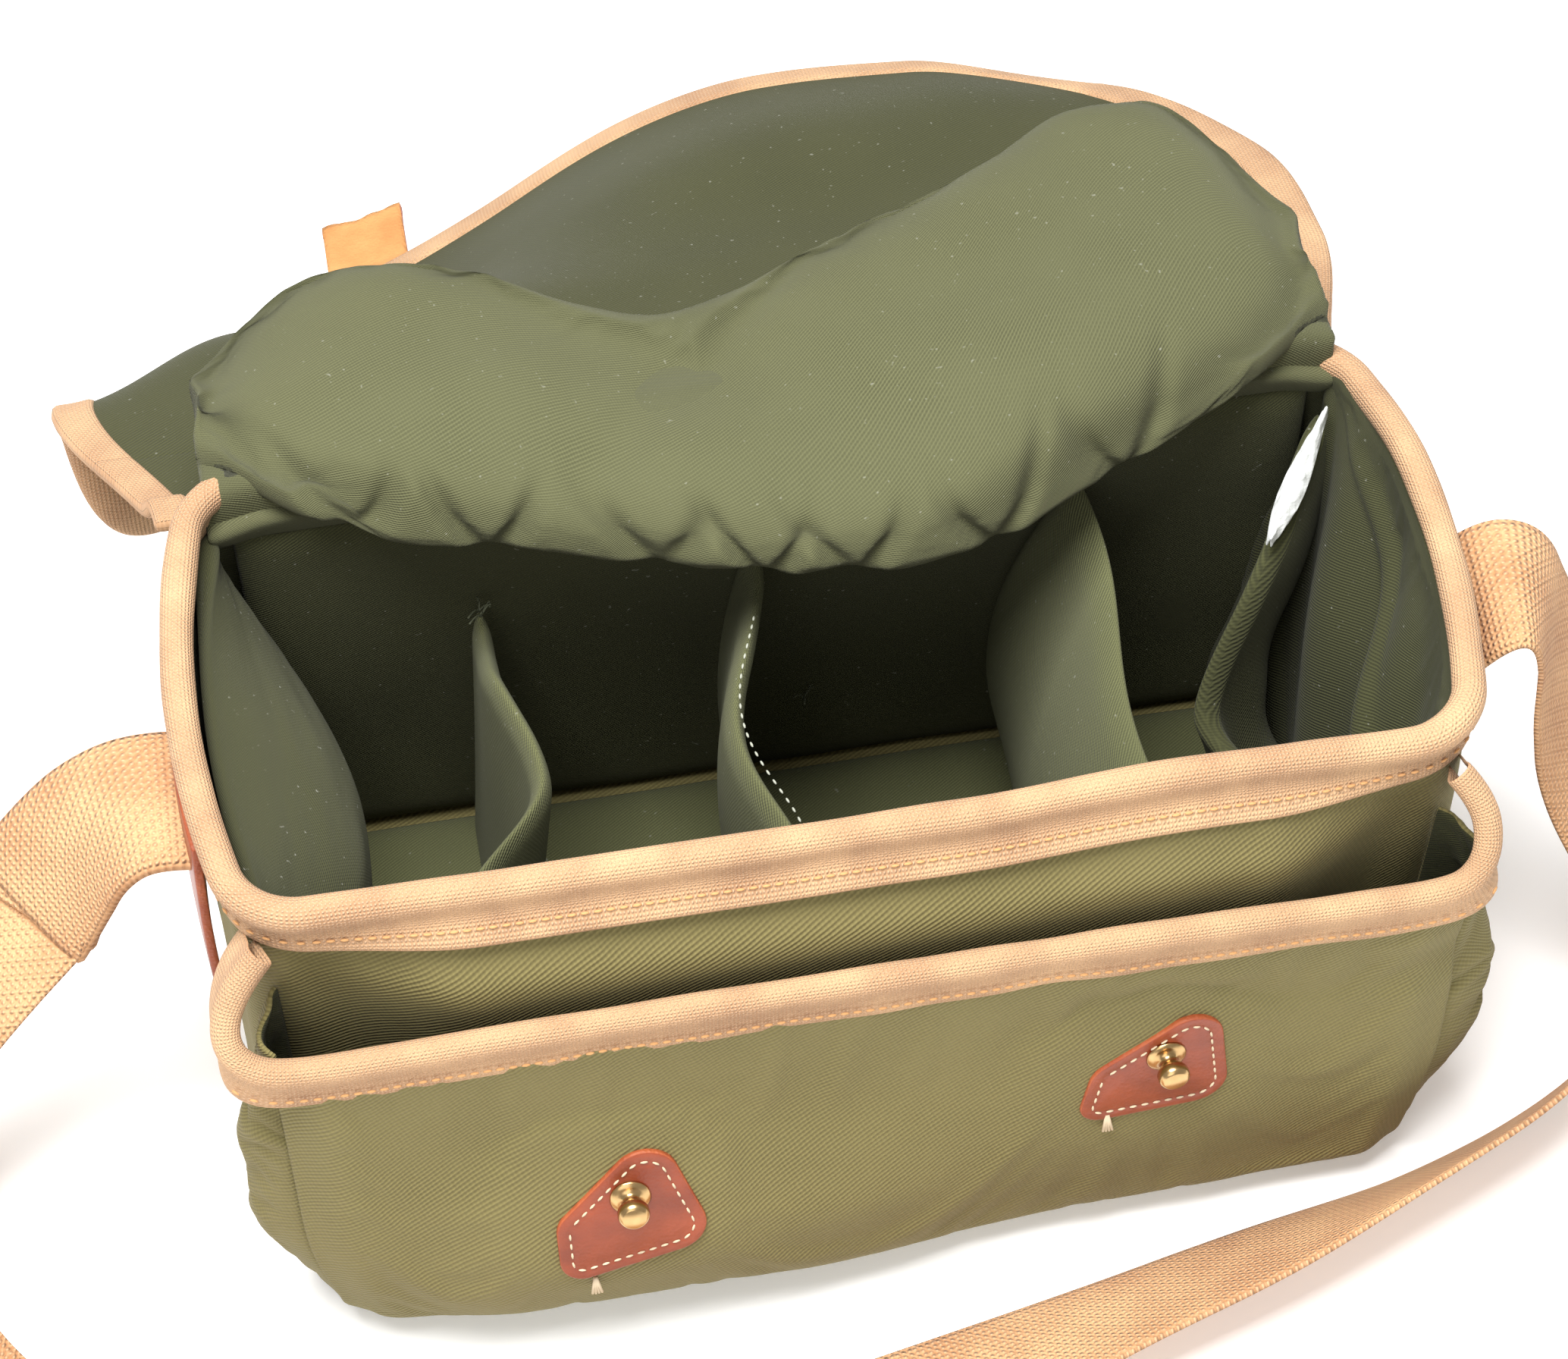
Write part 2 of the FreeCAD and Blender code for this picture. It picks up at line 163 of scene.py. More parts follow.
def cloth_grid(across, along, flat, place, corner=None):
    """A grid of across x along cells, cut flat[0] wide and flat[1] long, then placed."""
    bm = bmesh.new()
    bmesh.ops.create_grid(bm, x_segments=across, y_segments=along, size=1.0)
    cut = bm.verts.layers.float_vector.new(CUT)
    for v in bm.verts:
        a = (v.co.x + 1) / 2
        b = (v.co.y + 1) / 2
        x = (a - 0.5) * flat[0]
        s = b * flat[1]
        if corner:
            x, s = corner(x, s)
        v[cut] = Vector((x, s, 0))
        v.co = place(x, s)
    return bm


def ease(t):
    """Smooth step from 0 to 1."""
    t = min(max(t, 0.0), 1.0)
    return t * t * (3 - 2 * t)


def bump(t, middle, half):
    """A smooth hill of height 1 at middle that reaches 0 at half to each side."""
    d = (t - middle) / half
    return (1 - d * d) ** 2 if abs(d) < 1 else 0.0


def ripple(x, y, z, size, seed=0.0):
    """Smooth noise from -1 to 1 whose lumps are about size across."""
    return noise.noise(Vector((x / size + seed, y / size - seed, z / size + 2 * seed)))


def through(points, t):
    """A smooth curve through evenly spaced numbers or vectors, t from 0 to 1."""
    spot = min(max(t, 0.0), 1.0) * (len(points) - 1)
    i = min(int(spot), len(points) - 2)
    f = spot - i
    a = points[max(i - 1, 0)]
    b = points[i]
    c = points[i + 1]
    d = points[min(i + 2, len(points) - 1)]
    slope = (c - a) * (0.5 * f)
    bend = (a * 2 - b * 5 + c * 4 - d) * (0.5 * f * f)
    twist = (b * 3 - a - c * 3 + d) * (0.5 * f ** 3)
    return b + slope + bend + twist


# %% [markdown]
# ## Letting cloth settle
# Real cloth is never as smooth as a formula. `settle` runs Blender's Cloth on a
# placed piece for a few frames. The cloth is told that it was cut a little larger
# than its place, so it buckles into small creases, while a pin group holds the
# seams. The movement is capped, so the piece stays inside its CAD solid's space.

# %% Cloth simulation
FRAMES = 15
POINT_MASS = 0.15


def settle(made, hold, growth=0.03, cap=0.006, weight=1.0, push=0.0, bend=0.6):
    """Crease a piece by a short cloth run. hold gives each point's pin from 0 to 1."""
    mesh = made.data
    start = [v.co.copy() for v in mesh.vertices]
    group = made.vertex_groups.new(name="hold")
    for v in mesh.vertices:
        group.add([v.index], hold(v.co), "REPLACE")
    cloth = made.modifiers.new("cloth", "CLOTH")
    rules = cloth.settings
    rules.quality = 5
    rules.mass = POINT_MASS
    rules.tension_stiffness = 25
    rules.compression_stiffness = 25
    rules.shear_stiffness = 8
    rules.bending_stiffness = bend
    rules.shrink_min = -growth
    rules.vertex_group_mass = "hold"
    rules.pin_stiffness = 1.0
    rules.effector_weights.gravity = weight
    if push:
        rules.use_pressure = True
        rules.uniform_pressure_force = push
    cloth.collision_settings.use_collision = False
    cloth.point_cache.frame_start = 1
    cloth.point_cache.frame_end = FRAMES
    for f in range(1, FRAMES + 1):
        scene.frame_set(f)
    settled = made.evaluated_get(bpy.context.evaluated_depsgraph_get()).to_mesh()
    moved = [v.co.copy() for v in settled.vertices]
    made.evaluated_get(bpy.context.evaluated_depsgraph_get()).to_mesh_clear()
    made.modifiers.remove(cloth)
    made.vertex_groups.remove(group)
    far = 0.0
    for v, a, b in zip(mesh.vertices, start, moved):
        step = b - a
        far = max(far, step.length)
        if step.length > 0:
            step = step.normalized() * cap * math.tanh(step.length / cap)
        v.co = a + step
    scene.frame_set(1)
    print(made.name, "settled, furthest step", round(far * 1000, 1), "mm")
    return made


def thicken(made, depth, offset=-1.0, lining=0, levels=1, rim=0):
    """Give a sheet its thickness and apply it. lining shifts the inner face's material."""
    wall = made.modifiers.new("wall", "SOLIDIFY")
    wall.thickness = depth
    wall.offset = offset
    wall.material_offset = lining
    wall.material_offset_rim = rim
    wall.use_even_offset = False
    if levels:
        smoother = made.modifiers.new("smoother", "SUBSURF")
        smoother.levels = levels
        smoother.render_levels = levels
    return bake(made)


def bake(made):
    """Apply every modifier on a piece."""
    graph = bpy.context.evaluated_depsgraph_get()
    solid = bpy.data.meshes.new_from_object(made.evaluated_get(graph))
    solid.name = made.name
    made.modifiers.clear()
    made.data = solid
    return made


# %% [markdown]
# ## Sewing stitches
# A stitch is a tiny bead of thread. `sew` scales one small sphere per stitch and
# turns it along the seam. A few faces are enough for something so small.

# %% Stitches
def sew(name, spots, look, body=None, long=0.0028, thick=0.00045):
    """Place a stitch at each spot, a pair of a point and the direction of the seam."""
    bm = bmesh.new()
    for at, heading in spots:
        turn = heading.to_track_quat("X", "Z").to_matrix().to_4x4()
        shape = Matrix.Translation(at) @ turn @ Matrix.Diagonal((long / 2, thick, thick, 1))
        bmesh.ops.create_uvsphere(bm, u_segments=6, v_segments=4, radius=1.0, matrix=shape)
    return piece(name, bm, [look], body)


def seam(point_at, length, pitch=0.0042):
    """Evenly spaced stitches along point_at, a curve that takes a length from its start."""
    spots = []
    for i in range(int(length / pitch)):
        d = (i + 0.5) * pitch
        spots.append((point_at(d), (point_at(d + 0.001) - point_at(d - 0.001)).normalized()))
    return spots


# %% [markdown]
# ## Shader groups
# Several finishes share the same effects, so each effect is a node group with
# named sockets. Twill has slanted ribs, the tape and webbing have a plain basket
# weave, and every cloth fades and gathers lint in soft patches.

# %% Node group helpers
def new_group(name, inputs, outputs):
    """An empty shader group with value or vector inputs and value outputs."""
    tree = bpy.data.node_groups.new(name, "ShaderNodeTree")
    for title, kind, start in inputs:
        socket = tree.interface.new_socket(title, in_out="INPUT", socket_type=kind)
        if start is not None:
            socket.default_value = start
    for title, kind in outputs:
        tree.interface.new_socket(title, in_out="OUTPUT", socket_type=kind)
    return tree, tree.nodes.new("NodeGroupInput"), tree.nodes.new("NodeGroupOutput")


def math_node(tree, operation, a, b=0.0, clamp=False):
    """A Math node whose inputs are sockets or numbers; returns its output."""
    node = tree.nodes.new("ShaderNodeMath")
    node.operation = operation
    node.use_clamp = clamp
    for socket, value in zip(node.inputs, (a, b)):
        if isinstance(value, (int, float)):
            socket.default_value = value
        else:
            tree.links.new(value, socket)
    return node.outputs[0]


def waves(tree, vector, pitch, angle, wobble=0.6):
    """Straight ribs of a pitch in metres, turned by an angle; returns a value from 0 to 1."""
    turn = tree.nodes.new("ShaderNodeMapping")
    turn.inputs["Rotation"].default_value = (0, 0, angle)
    tree.links.new(vector, turn.inputs["Vector"])
    wave = tree.nodes.new("ShaderNodeTexWave")
    wave.wave_profile = "SIN"
    wave.inputs["Distortion"].default_value = wobble
    wave.inputs["Detail"].default_value = 1.0
    wave.inputs["Detail Scale"].default_value = 0.6
    tree.links.new(turn.outputs[0], wave.inputs["Vector"])
    scale = math_node(tree, "DIVIDE", 0.314, pitch)
    tree.links.new(scale, wave.inputs["Scale"])
    return wave.outputs["Fac"]


def speckle(tree, vector, scale, detail=2.0):
    """Noise of a scale per metre; returns a value from 0 to 1."""
    cloud = tree.nodes.new("ShaderNodeTexNoise")
    cloud.inputs["Detail"].default_value = detail
    tree.links.new(vector, cloud.inputs["Vector"])
    if isinstance(scale, (int, float)):
        cloud.inputs["Scale"].default_value = scale
    else:
        tree.links.new(scale, cloud.inputs["Scale"])
    return cloud.outputs["Fac"]


# %% The groups
twill, tin, tout = new_group("twill_weave",
                             [("Vector", "NodeSocketVector", None), ("Pitch", "NodeSocketFloat", 0.0009)],
                             [("Height", "NodeSocketFloat")])
ribs = waves(twill, tin.outputs["Vector"], tin.outputs["Pitch"], math.radians(58), 1.2)
threads = waves(twill, tin.outputs["Vector"], tin.outputs["Pitch"], math.radians(-20), 2.0)
slubs = speckle(twill, tin.outputs["Vector"], 900.0, 1.0)
strong_ribs = math_node(twill, "MULTIPLY", ribs, 0.62)
mixed = math_node(twill, "ADD", strong_ribs, math_node(twill, "MULTIPLY", threads, 0.18))
rough_weave = math_node(twill, "ADD", mixed, math_node(twill, "MULTIPLY", slubs, 0.2))
twill.links.new(rough_weave, tout.inputs["Height"])

basket, bin_, bout = new_group("basket_weave", [("Vector", "NodeSocketVector", None),
                                                ("Pitch", "NodeSocketFloat", 0.001),
                                                ("Angle ribs", "NodeSocketFloat", 0.5)],
                               [("Height", "NodeSocketFloat")])
warp = waves(basket, bin_.outputs["Vector"], bin_.outputs["Pitch"], 0.0, 0.5)
weft = waves(basket, bin_.outputs["Vector"], bin_.outputs["Pitch"], math.radians(90), 0.5)
slant = waves(basket, bin_.outputs["Vector"], bin_.outputs["Pitch"], math.radians(45), 0.5)
crossing = math_node(basket, "MULTIPLY", warp, weft)
slanted = math_node(basket, "MULTIPLY", slant, bin_.outputs["Angle ribs"])
basket.links.new(math_node(basket, "ADD", crossing, slanted), bout.inputs["Height"])

fade, fin, fout = new_group("fade_and_lint", [("Vector", "NodeSocketVector", None),
                                              ("Patch", "NodeSocketFloat", 28.0)],
                            [("Fade", "NodeSocketFloat"), ("Lint", "NodeSocketFloat")])
patches = speckle(fade, fin.outputs["Vector"], fin.outputs["Patch"], 4.0)
clear = math_node(fade, "MULTIPLY", math_node(fade, "SUBTRACT", patches, 0.34), 3.0, True)
fade.links.new(clear, fout.inputs["Fade"])
dots = speckle(fade, fin.outputs["Vector"], 700.0, 0.0)
few = math_node(fade, "MULTIPLY", math_node(fade, "SUBTRACT", dots, 0.80), 12.0, True)
fade.links.new(few, fout.inputs["Lint"])

hide, hin, hout = new_group("leather_hide", [("Vector", "NodeSocketVector", None),
                                             ("Pore", "NodeSocketFloat", 900.0)],
                            [("Height", "NodeSocketFloat"), ("Stain", "NodeSocketFloat")])
pores = hide.nodes.new("ShaderNodeTexVoronoi")
hide.links.new(hin.outputs["Vector"], pores.inputs["Vector"])
hide.links.new(hin.outputs["Pore"], pores.inputs["Scale"])
rough_hide = speckle(hide, hin.outputs["Vector"], 260.0, 4.0)
half_pores = math_node(hide, "MULTIPLY", pores.outputs["Distance"], 0.5)
hide.links.new(math_node(hide, "ADD", half_pores, rough_hide), hout.inputs["Height"])
stain = speckle(hide, hin.outputs["Vector"], 70.0, 5.0)
stained = math_node(hide, "MULTIPLY", math_node(hide, "SUBTRACT", stain, 0.36), 3.2, True)
hide.links.new(stained, hout.inputs["Stain"])
print("groups", sorted(group.name for group in bpy.data.node_groups))

# %% [markdown]
# ## Finishes
# Each material stands alone: its shader sockets hold the constant values, and the
# groups feed only colour and bump. Cloth reads the `cloth` attribute. Pieces with
# no cut, such as leather and brass, read Object coordinates.

# %% Material helpers
def new_look(name, rough, sheen=0.0):
    """A material with a Principled shader and the constants that every finish sets."""
    look = bpy.data.materials.new(name)
    look.use_nodes = True
    shader = look.node_tree.nodes["Principled BSDF"]
    shader.inputs["Roughness"].default_value = rough
    shader.inputs["Sheen Weight"].default_value = sheen
    shader.inputs["Sheen Roughness"].default_value = 0.5
    return look, look.node_tree, shader


def place_group(tree, group, vector, **values):
    """Put a node group in a material and set its inputs."""
    node = tree.nodes.new("ShaderNodeGroup")
    node.node_tree = group
    tree.links.new(vector, node.inputs["Vector"])
    for title, value in values.items():
        node.inputs[title.replace("_", " ")].default_value = value
    return node


def mix_colour(tree, factor, a, b):
    """Mix two colours, or a socket and a colour, by a factor socket."""
    node = tree.nodes.new("ShaderNodeMix")
    node.data_type = "RGBA"
    tree.links.new(factor, node.inputs["Factor"])
    for socket, value in ((node.inputs["A"], a), (node.inputs["B"], b)):
        if isinstance(value, tuple):
            socket.default_value = (*value, 1)
        else:
            tree.links.new(value, socket)
    return node.outputs["Result"]


def bump_from(tree, shader, height, distance):
    """Feed a height socket to the shader's Normal; distance is the relief in metres."""
    node = tree.nodes.new("ShaderNodeBump")
    node.inputs["Distance"].default_value = distance
    node.inputs["Strength"].default_value = 1.0
    tree.links.new(height, node.inputs["Height"])
    tree.links.new(node.outputs["Normal"], shader.inputs["Normal"])


def woven(name, group, pitch, dark, light, faded, rough=0.9, sheen=0.04, depth=0.0004,
          lint=0.0, patch=28.0, **extra):
    """A woven finish: threads from a group, faded patches and a little lint."""
    look, tree, shader = new_look(name, rough, sheen)
    where = tree.nodes.new("ShaderNodeAttribute")
    where.attribute_name = CUT
    weave = place_group(tree, group, where.outputs["Vector"], Pitch=pitch, **extra)
    spot = tree.nodes.new("ShaderNodeTexCoord").outputs["Object"]
    age = place_group(tree, fade, spot, Patch=patch)
    thread = mix_colour(tree, weave.outputs["Height"], dark, light)
    half = math_node(tree, "MULTIPLY", age.outputs["Fade"], 0.55)
    colour = mix_colour(tree, half, thread, faded)
    if lint:
        some = math_node(tree, "MULTIPLY", age.outputs["Lint"], lint)
        colour = mix_colour(tree, some, colour, (0.5, 0.5, 0.44))
    tree.links.new(colour, shader.inputs["Base Color"])
    bump_from(tree, shader, weave.outputs["Height"], depth)
    return look


# %% The finishes
canvas = woven("canvas_twill", twill, 0.0014, (0.10, 0.082, 0.024), (0.255, 0.215, 0.078),
               (0.205, 0.172, 0.062), depth=0.0004)
flap_cloth = woven("flap_twill", twill, 0.00095, (0.042, 0.043, 0.015), (0.122, 0.124, 0.054),
                   (0.094, 0.096, 0.042), depth=0.0003, lint=0.2)
lining = woven("lining_twill", twill, 0.0009, (0.020, 0.021, 0.005), (0.064, 0.066, 0.020),
               (0.048, 0.049, 0.014), depth=0.0003, lint=0.25)
pad_cloth = woven("pad_twill", twill, 0.0009, (0.052, 0.055, 0.019), (0.150, 0.155, 0.063),
                  (0.09, 0.094, 0.038), depth=0.0003, lint=0.25)
tape = woven("binding_tape", basket, 0.00105, (0.35, 0.185, 0.090), (0.58, 0.37, 0.225),
             (0.72, 0.46, 0.25), depth=0.0004, patch=40.0, Angle_ribs=0.25)
webbing = woven("webbing", basket, 0.0019, (0.40, 0.185, 0.075), (0.70, 0.40, 0.215),
                (0.76, 0.46, 0.23), depth=0.0008, patch=35.0, Angle_ribs=0.35)
teal = woven("seam_scrap", twill, 0.0009, (0.01, 0.05, 0.045), (0.03, 0.11, 0.1),
             (0.04, 0.12, 0.1))


def leather(name, colour, stained, rough, coat, depth=0.0002):
    """Leather: a pored hide with darker handled patches under a thin polish."""
    look, tree, shader = new_look(name, rough)
    vector = tree.nodes.new("ShaderNodeTexCoord").outputs["Object"]
    grain = place_group(tree, hide, vector)
    tone = mix_colour(tree, grain.outputs["Stain"], colour, stained)
    tree.links.new(tone, shader.inputs["Base Color"])
    shader.inputs["Coat Weight"].default_value = coat
    shader.inputs["Coat Roughness"].default_value = 0.3
    bump_from(tree, shader, grain.outputs["Height"], depth)
    return look


tan_hide = leather("leather_chestnut", (0.31, 0.052, 0.012), (0.20, 0.032, 0.008), 0.45, 0.12)
tan_edge = leather("leather_edge", (0.42, 0.1, 0.03), (0.3, 0.05, 0.015), 0.6, 0.05, 0.0004)
flesh_hide = leather("leather_flesh_side", (0.60, 0.29, 0.10), (0.5, 0.22, 0.07), 0.85, 0.0, 0.0005)


def plain(name, colour, second, rough, metallic=0.0, scale=150.0, depth=0.0001):
    """A finish with soft patches of a second colour, for thread, foam and metal."""
    look, tree, shader = new_look(name, rough)
    vector = tree.nodes.new("ShaderNodeTexCoord").outputs["Object"]
    cloud = speckle(tree, vector, scale, 4.0)
    tree.links.new(mix_colour(tree, cloud, colour, second), shader.inputs["Base Color"])
    shader.inputs["Metallic"].default_value = metallic
    bump_from(tree, shader, cloud, depth)
    return look


brass = plain("aged_brass", (0.62, 0.42, 0.2), (0.36, 0.22, 0.09), 0.26, 1.0, 260.0, 0.00005)
cream_thread = plain("cream_thread", (0.72, 0.6, 0.42), (0.55, 0.43, 0.28), 0.8)
tan_thread = plain("tan_thread", (0.52, 0.26, 0.1), (0.62, 0.34, 0.14), 0.8)
pale_thread = plain("pale_thread", (0.42, 0.43, 0.36), (0.3, 0.31, 0.25), 0.8)
dark_thread = plain("dark_thread", (0.04, 0.045, 0.02), (0.08, 0.085, 0.05), 0.8)
white_foam = plain("white_wadding", (0.85, 0.86, 0.84), (0.6, 0.62, 0.6), 0.45, 0.0, 320.0, 0.0006)
green_thread = plain("green_thread", (0.3, 0.34, 0.08), (0.2, 0.24, 0.05), 0.8)
print("finishes", len(bpy.data.materials))

# %% [markdown]
# ## Shoulder strap
# The strap is a flat cord: a 44 mm webbing that leaves the right-hand patch,
# folds over, falls to the floor and runs round the front to the left-hand tab. A
# NURBS spline through the route is smooth, and its mesh gives the points that the
# webbing follows. At each point the webbing has a lean, because it lies flat in
# some places and stands on its edge in others.

# %% Strap route
STRAP_ROUTE = [(0.187, -0.016, 0.158), (0.197, -0.017, 0.174), (0.212, -0.019, 0.169),
               (0.220, -0.022, 0.138), (0.230, -0.028, 0.100), (0.246, -0.042, 0.062),
               (0.259, -0.064, 0.038), (0.246, -0.090, 0.028), (0.212, -0.113, 0.0235),
               (0.170, -0.129, 0.0215), (0.119, -0.143, 0.0185), (0.066, -0.155, 0.0155),
               (0.010, -0.169, 0.012), (-0.048, -0.183, 0.010), (-0.104, -0.190, 0.009),
               (-0.160, -0.187, 0.009), (-0.212, -0.174, 0.009), (-0.258, -0.148, 0.009),
               (-0.290, -0.110, 0.010), (-0.303, -0.074, 0.020), (-0.300, -0.050, 0.048),
               (-0.286, -0.046, 0.078), (-0.262, -0.034, 0.104), (-0.234, -0.015, 0.1155)]
WEB_WIDE = 0.044
WEB_THICK = 0.0024
# the direction across the webbing, at even steps of the route
WEB_ACROSS = [Vector(v) for v in (
    (0, 1, 0.05), (0.1, 1, 0.05), (0.3, 0.93, 0.25), (0.45, 0.8, 0.4), (0.55, 0.75, 0.3),
    (0.55, 0.8, 0), (0.45, 0.6, -0.6), (0.25, 0.4, -0.88), (0.1, 0.4, -0.9), (0.1, 0.50, -0.86),
    (0.1, 0.7, -0.7), (0.12, 0.8, -0.58), (0.15, 0.9, -0.35), (0.1, 1, -0.12), (0, 1, 0),
    (0.1, 1, 0.05), (0.4, 0.9, 0.1), (0.7, 0.65, 0.1), (0.95, 0.2, 0.1), (0.95, 0, 0.1),
    (0.9, -0.4, 0.1), (0.8, -0.6, 0.1), (0.75, -0.68, 0.05), (0.7, -0.7, 0))]


def route_points(route, steps=12):
    """Points along the NURBS spline that has the route as its control points."""
    curve = bpy.data.curves.new("route", "CURVE")
    curve.dimensions = "3D"
    spline = curve.splines.new("NURBS")
    spline.points.add(len(route) - 1)
    for point, at in zip(spline.points, route):
        point.co = (*at, 1.0)
    spline.order_u = 3
    spline.use_endpoint_u = True
    spline.resolution_u = steps
    holder = bpy.data.objects.new("route", curve)
    scene.collection.objects.link(holder)
    graph = bpy.context.evaluated_depsgraph_get()
    line = bpy.data.meshes.new_from_object(holder.evaluated_get(graph))
    points = [v.co.copy() for v in line.vertices]
    bpy.data.objects.remove(holder)
    bpy.data.curves.remove(curve)
    bpy.data.meshes.remove(line)
    return points


def lengths(points):
    """Distance of each point from the first, along the line."""
    run = [0.0]
    for a, b in zip(points, points[1:]):
        run.append(run[-1] + (b - a).length)
    return run


# %% A flat band along a line
def band(points, across_at, wide, thick, cells=14, belly=0.0):
    """Webbing that follows points. across_at gives the direction across at a share of the length."""
    run = lengths(points)
    section = []
    for i in range(cells + 1):
        section.append((i / cells - 0.5, 0.5))
    for i in range(cells, -1, -1):
        section.append((i / cells - 0.5, -0.5))
    count = len(section)
    bm = bmesh.new()
    bmesh.ops.create_grid(bm, x_segments=count, y_segments=len(points) - 1, size=1.0)
    cut = bm.verts.layers.float_vector.new(CUT)
    for v in bm.verts:
        i = round((v.co.x + 1) / 2 * count) % count
        j = round((v.co.y + 1) / 2 * (len(points) - 1))
        heading = (points[min(j + 1, len(points) - 1)] - points[max(j - 1, 0)]).normalized()
        across = across_at(j / (len(points) - 1))
        across = (across - heading * across.dot(heading)).normalized()
        face = heading.cross(across)
        a, b = section[i]
        edge = 1 - 0.35 * (abs(a) * 2) ** 12
        curl = belly * (1 - (2 * a) ** 2)
        v.co = points[j] + across * (a * wide) + face * (b * thick * edge + curl)
        v[cut] = Vector((a * wide, run[j], 0))
    bmesh.ops.remove_doubles(bm, verts=bm.verts, dist=0.00001)
    bmesh.ops.holes_fill(bm, edges=[e for e in bm.edges if e.is_boundary])
    bmesh.ops.recalc_face_normals(bm, faces=bm.faces)
    return bm


strap_points = route_points(STRAP_ROUTE)
strap_run = lengths(strap_points)[-1]
strap_band = band(strap_points, lambda t: through(WEB_ACROSS, t), WEB_WIDE, WEB_THICK)
strap = piece("shoulder_strap_webbing", strap_band, [webbing], "bag", ["shoulder_strap"])
print("strap length", round(strap_run, 3))

# %% [markdown]
# ## The body's outline
# The four walls are one strip of canvas, sewn to the base and bound at the rim.
# `wall_point` walks round a rounded rectangle whose ends bulge outwards. The
# other pieces use it too, so the tape and the lining meet the canvas exactly.

# %% Body outline
HALF_X = 0.1695
HALF_Y = 0.0745
CORNER = 0.016
RIM_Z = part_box("binding_front")[1][2]
END_BULGE = 0.0125


def loop_point(distance, half_x=HALF_X, half_y=HALF_Y, radius=CORNER):
    """Walk round a rounded rectangle from its back's middle; returns a point and the way out."""
    straight_x = 2 * (half_x - radius)
    straight_y = 2 * (half_y - radius)
    arc = math.pi / 2 * radius
    total = 2 * (straight_x + straight_y) + 4 * arc
    d = distance % total
    legs = ((straight_x / 2, 0), (arc, 1), (straight_y, 2), (arc, 3), (straight_x, 4), (arc, 5),
            (straight_y, 6), (arc, 7), (straight_x / 2, 8))
    for long, leg in legs:
        if d <= long + 1e-9:
            break
        d -= long
    cx = half_x - radius
    cy = half_y - radius
    if leg % 2 == 0:
        at, out = {0: ((-d, half_y), (0, 1)), 2: ((-half_x, cy - d), (-1, 0)),
                   4: ((-cx + d, -half_y), (0, -1)), 6: ((half_x, -cy + d), (1, 0)),
                   8: ((cx - d, half_y), (0, 1))}[leg]
        return Vector(at), Vector(out)
    centre, first = {1: ((-cx, cy), 90), 3: ((-cx, -cy), 180), 5: ((cx, -cy), 270), 7: ((cx, cy), 0)}[leg]
    angle = math.radians(first) + d / radius
    out = Vector((math.cos(angle), math.sin(angle)))
    return Vector(centre) + out * radius, out


LOOP = 2 * (2 * (HALF_X - CORNER) + 2 * (HALF_Y - CORNER)) + 2 * math.pi * CORNER
print("round the rim", round(LOOP, 3))


def rim_lift(x, y):
    """The soft rim isn't level: it rises a little along the front and at the rear corners."""
    front = 0.004 * bump(x, 0.095, 0.07) if y < -0.05 else 0.0
    rear = -0.008 * ease((y - 0.02) / 0.05) * ease((x - 0.1) / 0.06)
    return front + rear + 0.0012 * ripple(x, y, 0, 0.05, 3.0)


def wall_point(distance, z, out=0.0):
    """A point on the canvas wall at a height, moved outwards by out."""
    at, away = loop_point(distance)
    share = z / RIM_Z
    side = ease((abs(at.x) - 0.12) / 0.05)
    swell = END_BULGE * (1 - (at.y / 0.08) ** 2) * side
    spread = 0.004 * math.sin(math.pi * share) * ease((abs(at.x) - 0.15) / 0.02)
    front = ease((-at.y - 0.052) / 0.02) * (1 - 0.75 * ease((abs(at.x) - 0.11) / 0.055))
    belly = 0.0225 * ease((0.189 - z) / 0.036) * ease(z / 0.13) * front
    x = at.x + math.copysign(swell + spread, at.x)
    y = at.y - belly
    lift = rim_lift(at.x, at.y) * ease(share * 1.3 - 0.3)
    return Vector((x + away.x * out, y + away.y * out, z + lift))


# %% [markdown]
# ## Canvas body
# The walls are a closed strip, made as a grid that is wrapped round the outline
# and welded where its ends meet, behind. The cloth run gives it creases, and
# Solidify gives it a lining in a second material on its inner face.

# %% Canvas walls
def hold_wall(co):
    """The walls are sewn fast at the rim and the base, and free between."""
    low = 1 - ease((co.z - 0.004) / 0.02)
    high = ease((co.z - 0.168) / 0.012)
    return max(low, high)


WALL_TOP = RIM_Z - 0.004
shell = cloth_grid(200, 34, (LOOP, WALL_TOP),
                   lambda x, s: wall_point(x + LOOP / 2, 0.001 + s * 0.995))
bmesh.ops.remove_doubles(shell, verts=shell.verts, dist=0.0002)
walls = piece("canvas_walls", shell, [canvas, lining])
settle(walls, hold_wall, growth=0.014, cap=0.005, push=0.2)
thicken(walls, 0.0022, -1.0, lining=1)
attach(walls, "bag")
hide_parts("front_panel", "back_panel", "end_panel_left", "end_panel_right")

# %% Base
def base_point(x, s):
    """The base spans the body and the pocket, with soft corners."""
    y = s - 0.1105
    front = ease((-y - 0.07) / 0.03)
    half = 0.168 - 0.012 * front
    edge = max(abs(x) / 0.168, abs(y + 0.018) / 0.0925)
    return Vector((x / 0.168 * half, y, 0.0006 + 0.006 * ease((edge - 0.9) / 0.1)))


base = piece("canvas_base", cloth_grid(80, 46, (0.336, 0.185), base_point), [canvas])
thicken(base, 0.0024, 1.0, levels=0)
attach(base, "bag")
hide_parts("base_panel")

# %% [markdown]
# ## Bound edges
# A binding is a tape folded over a raw edge and sewn down. Its section is a fat
# roll on top with a flat strip below on both sides, carried round the rim.

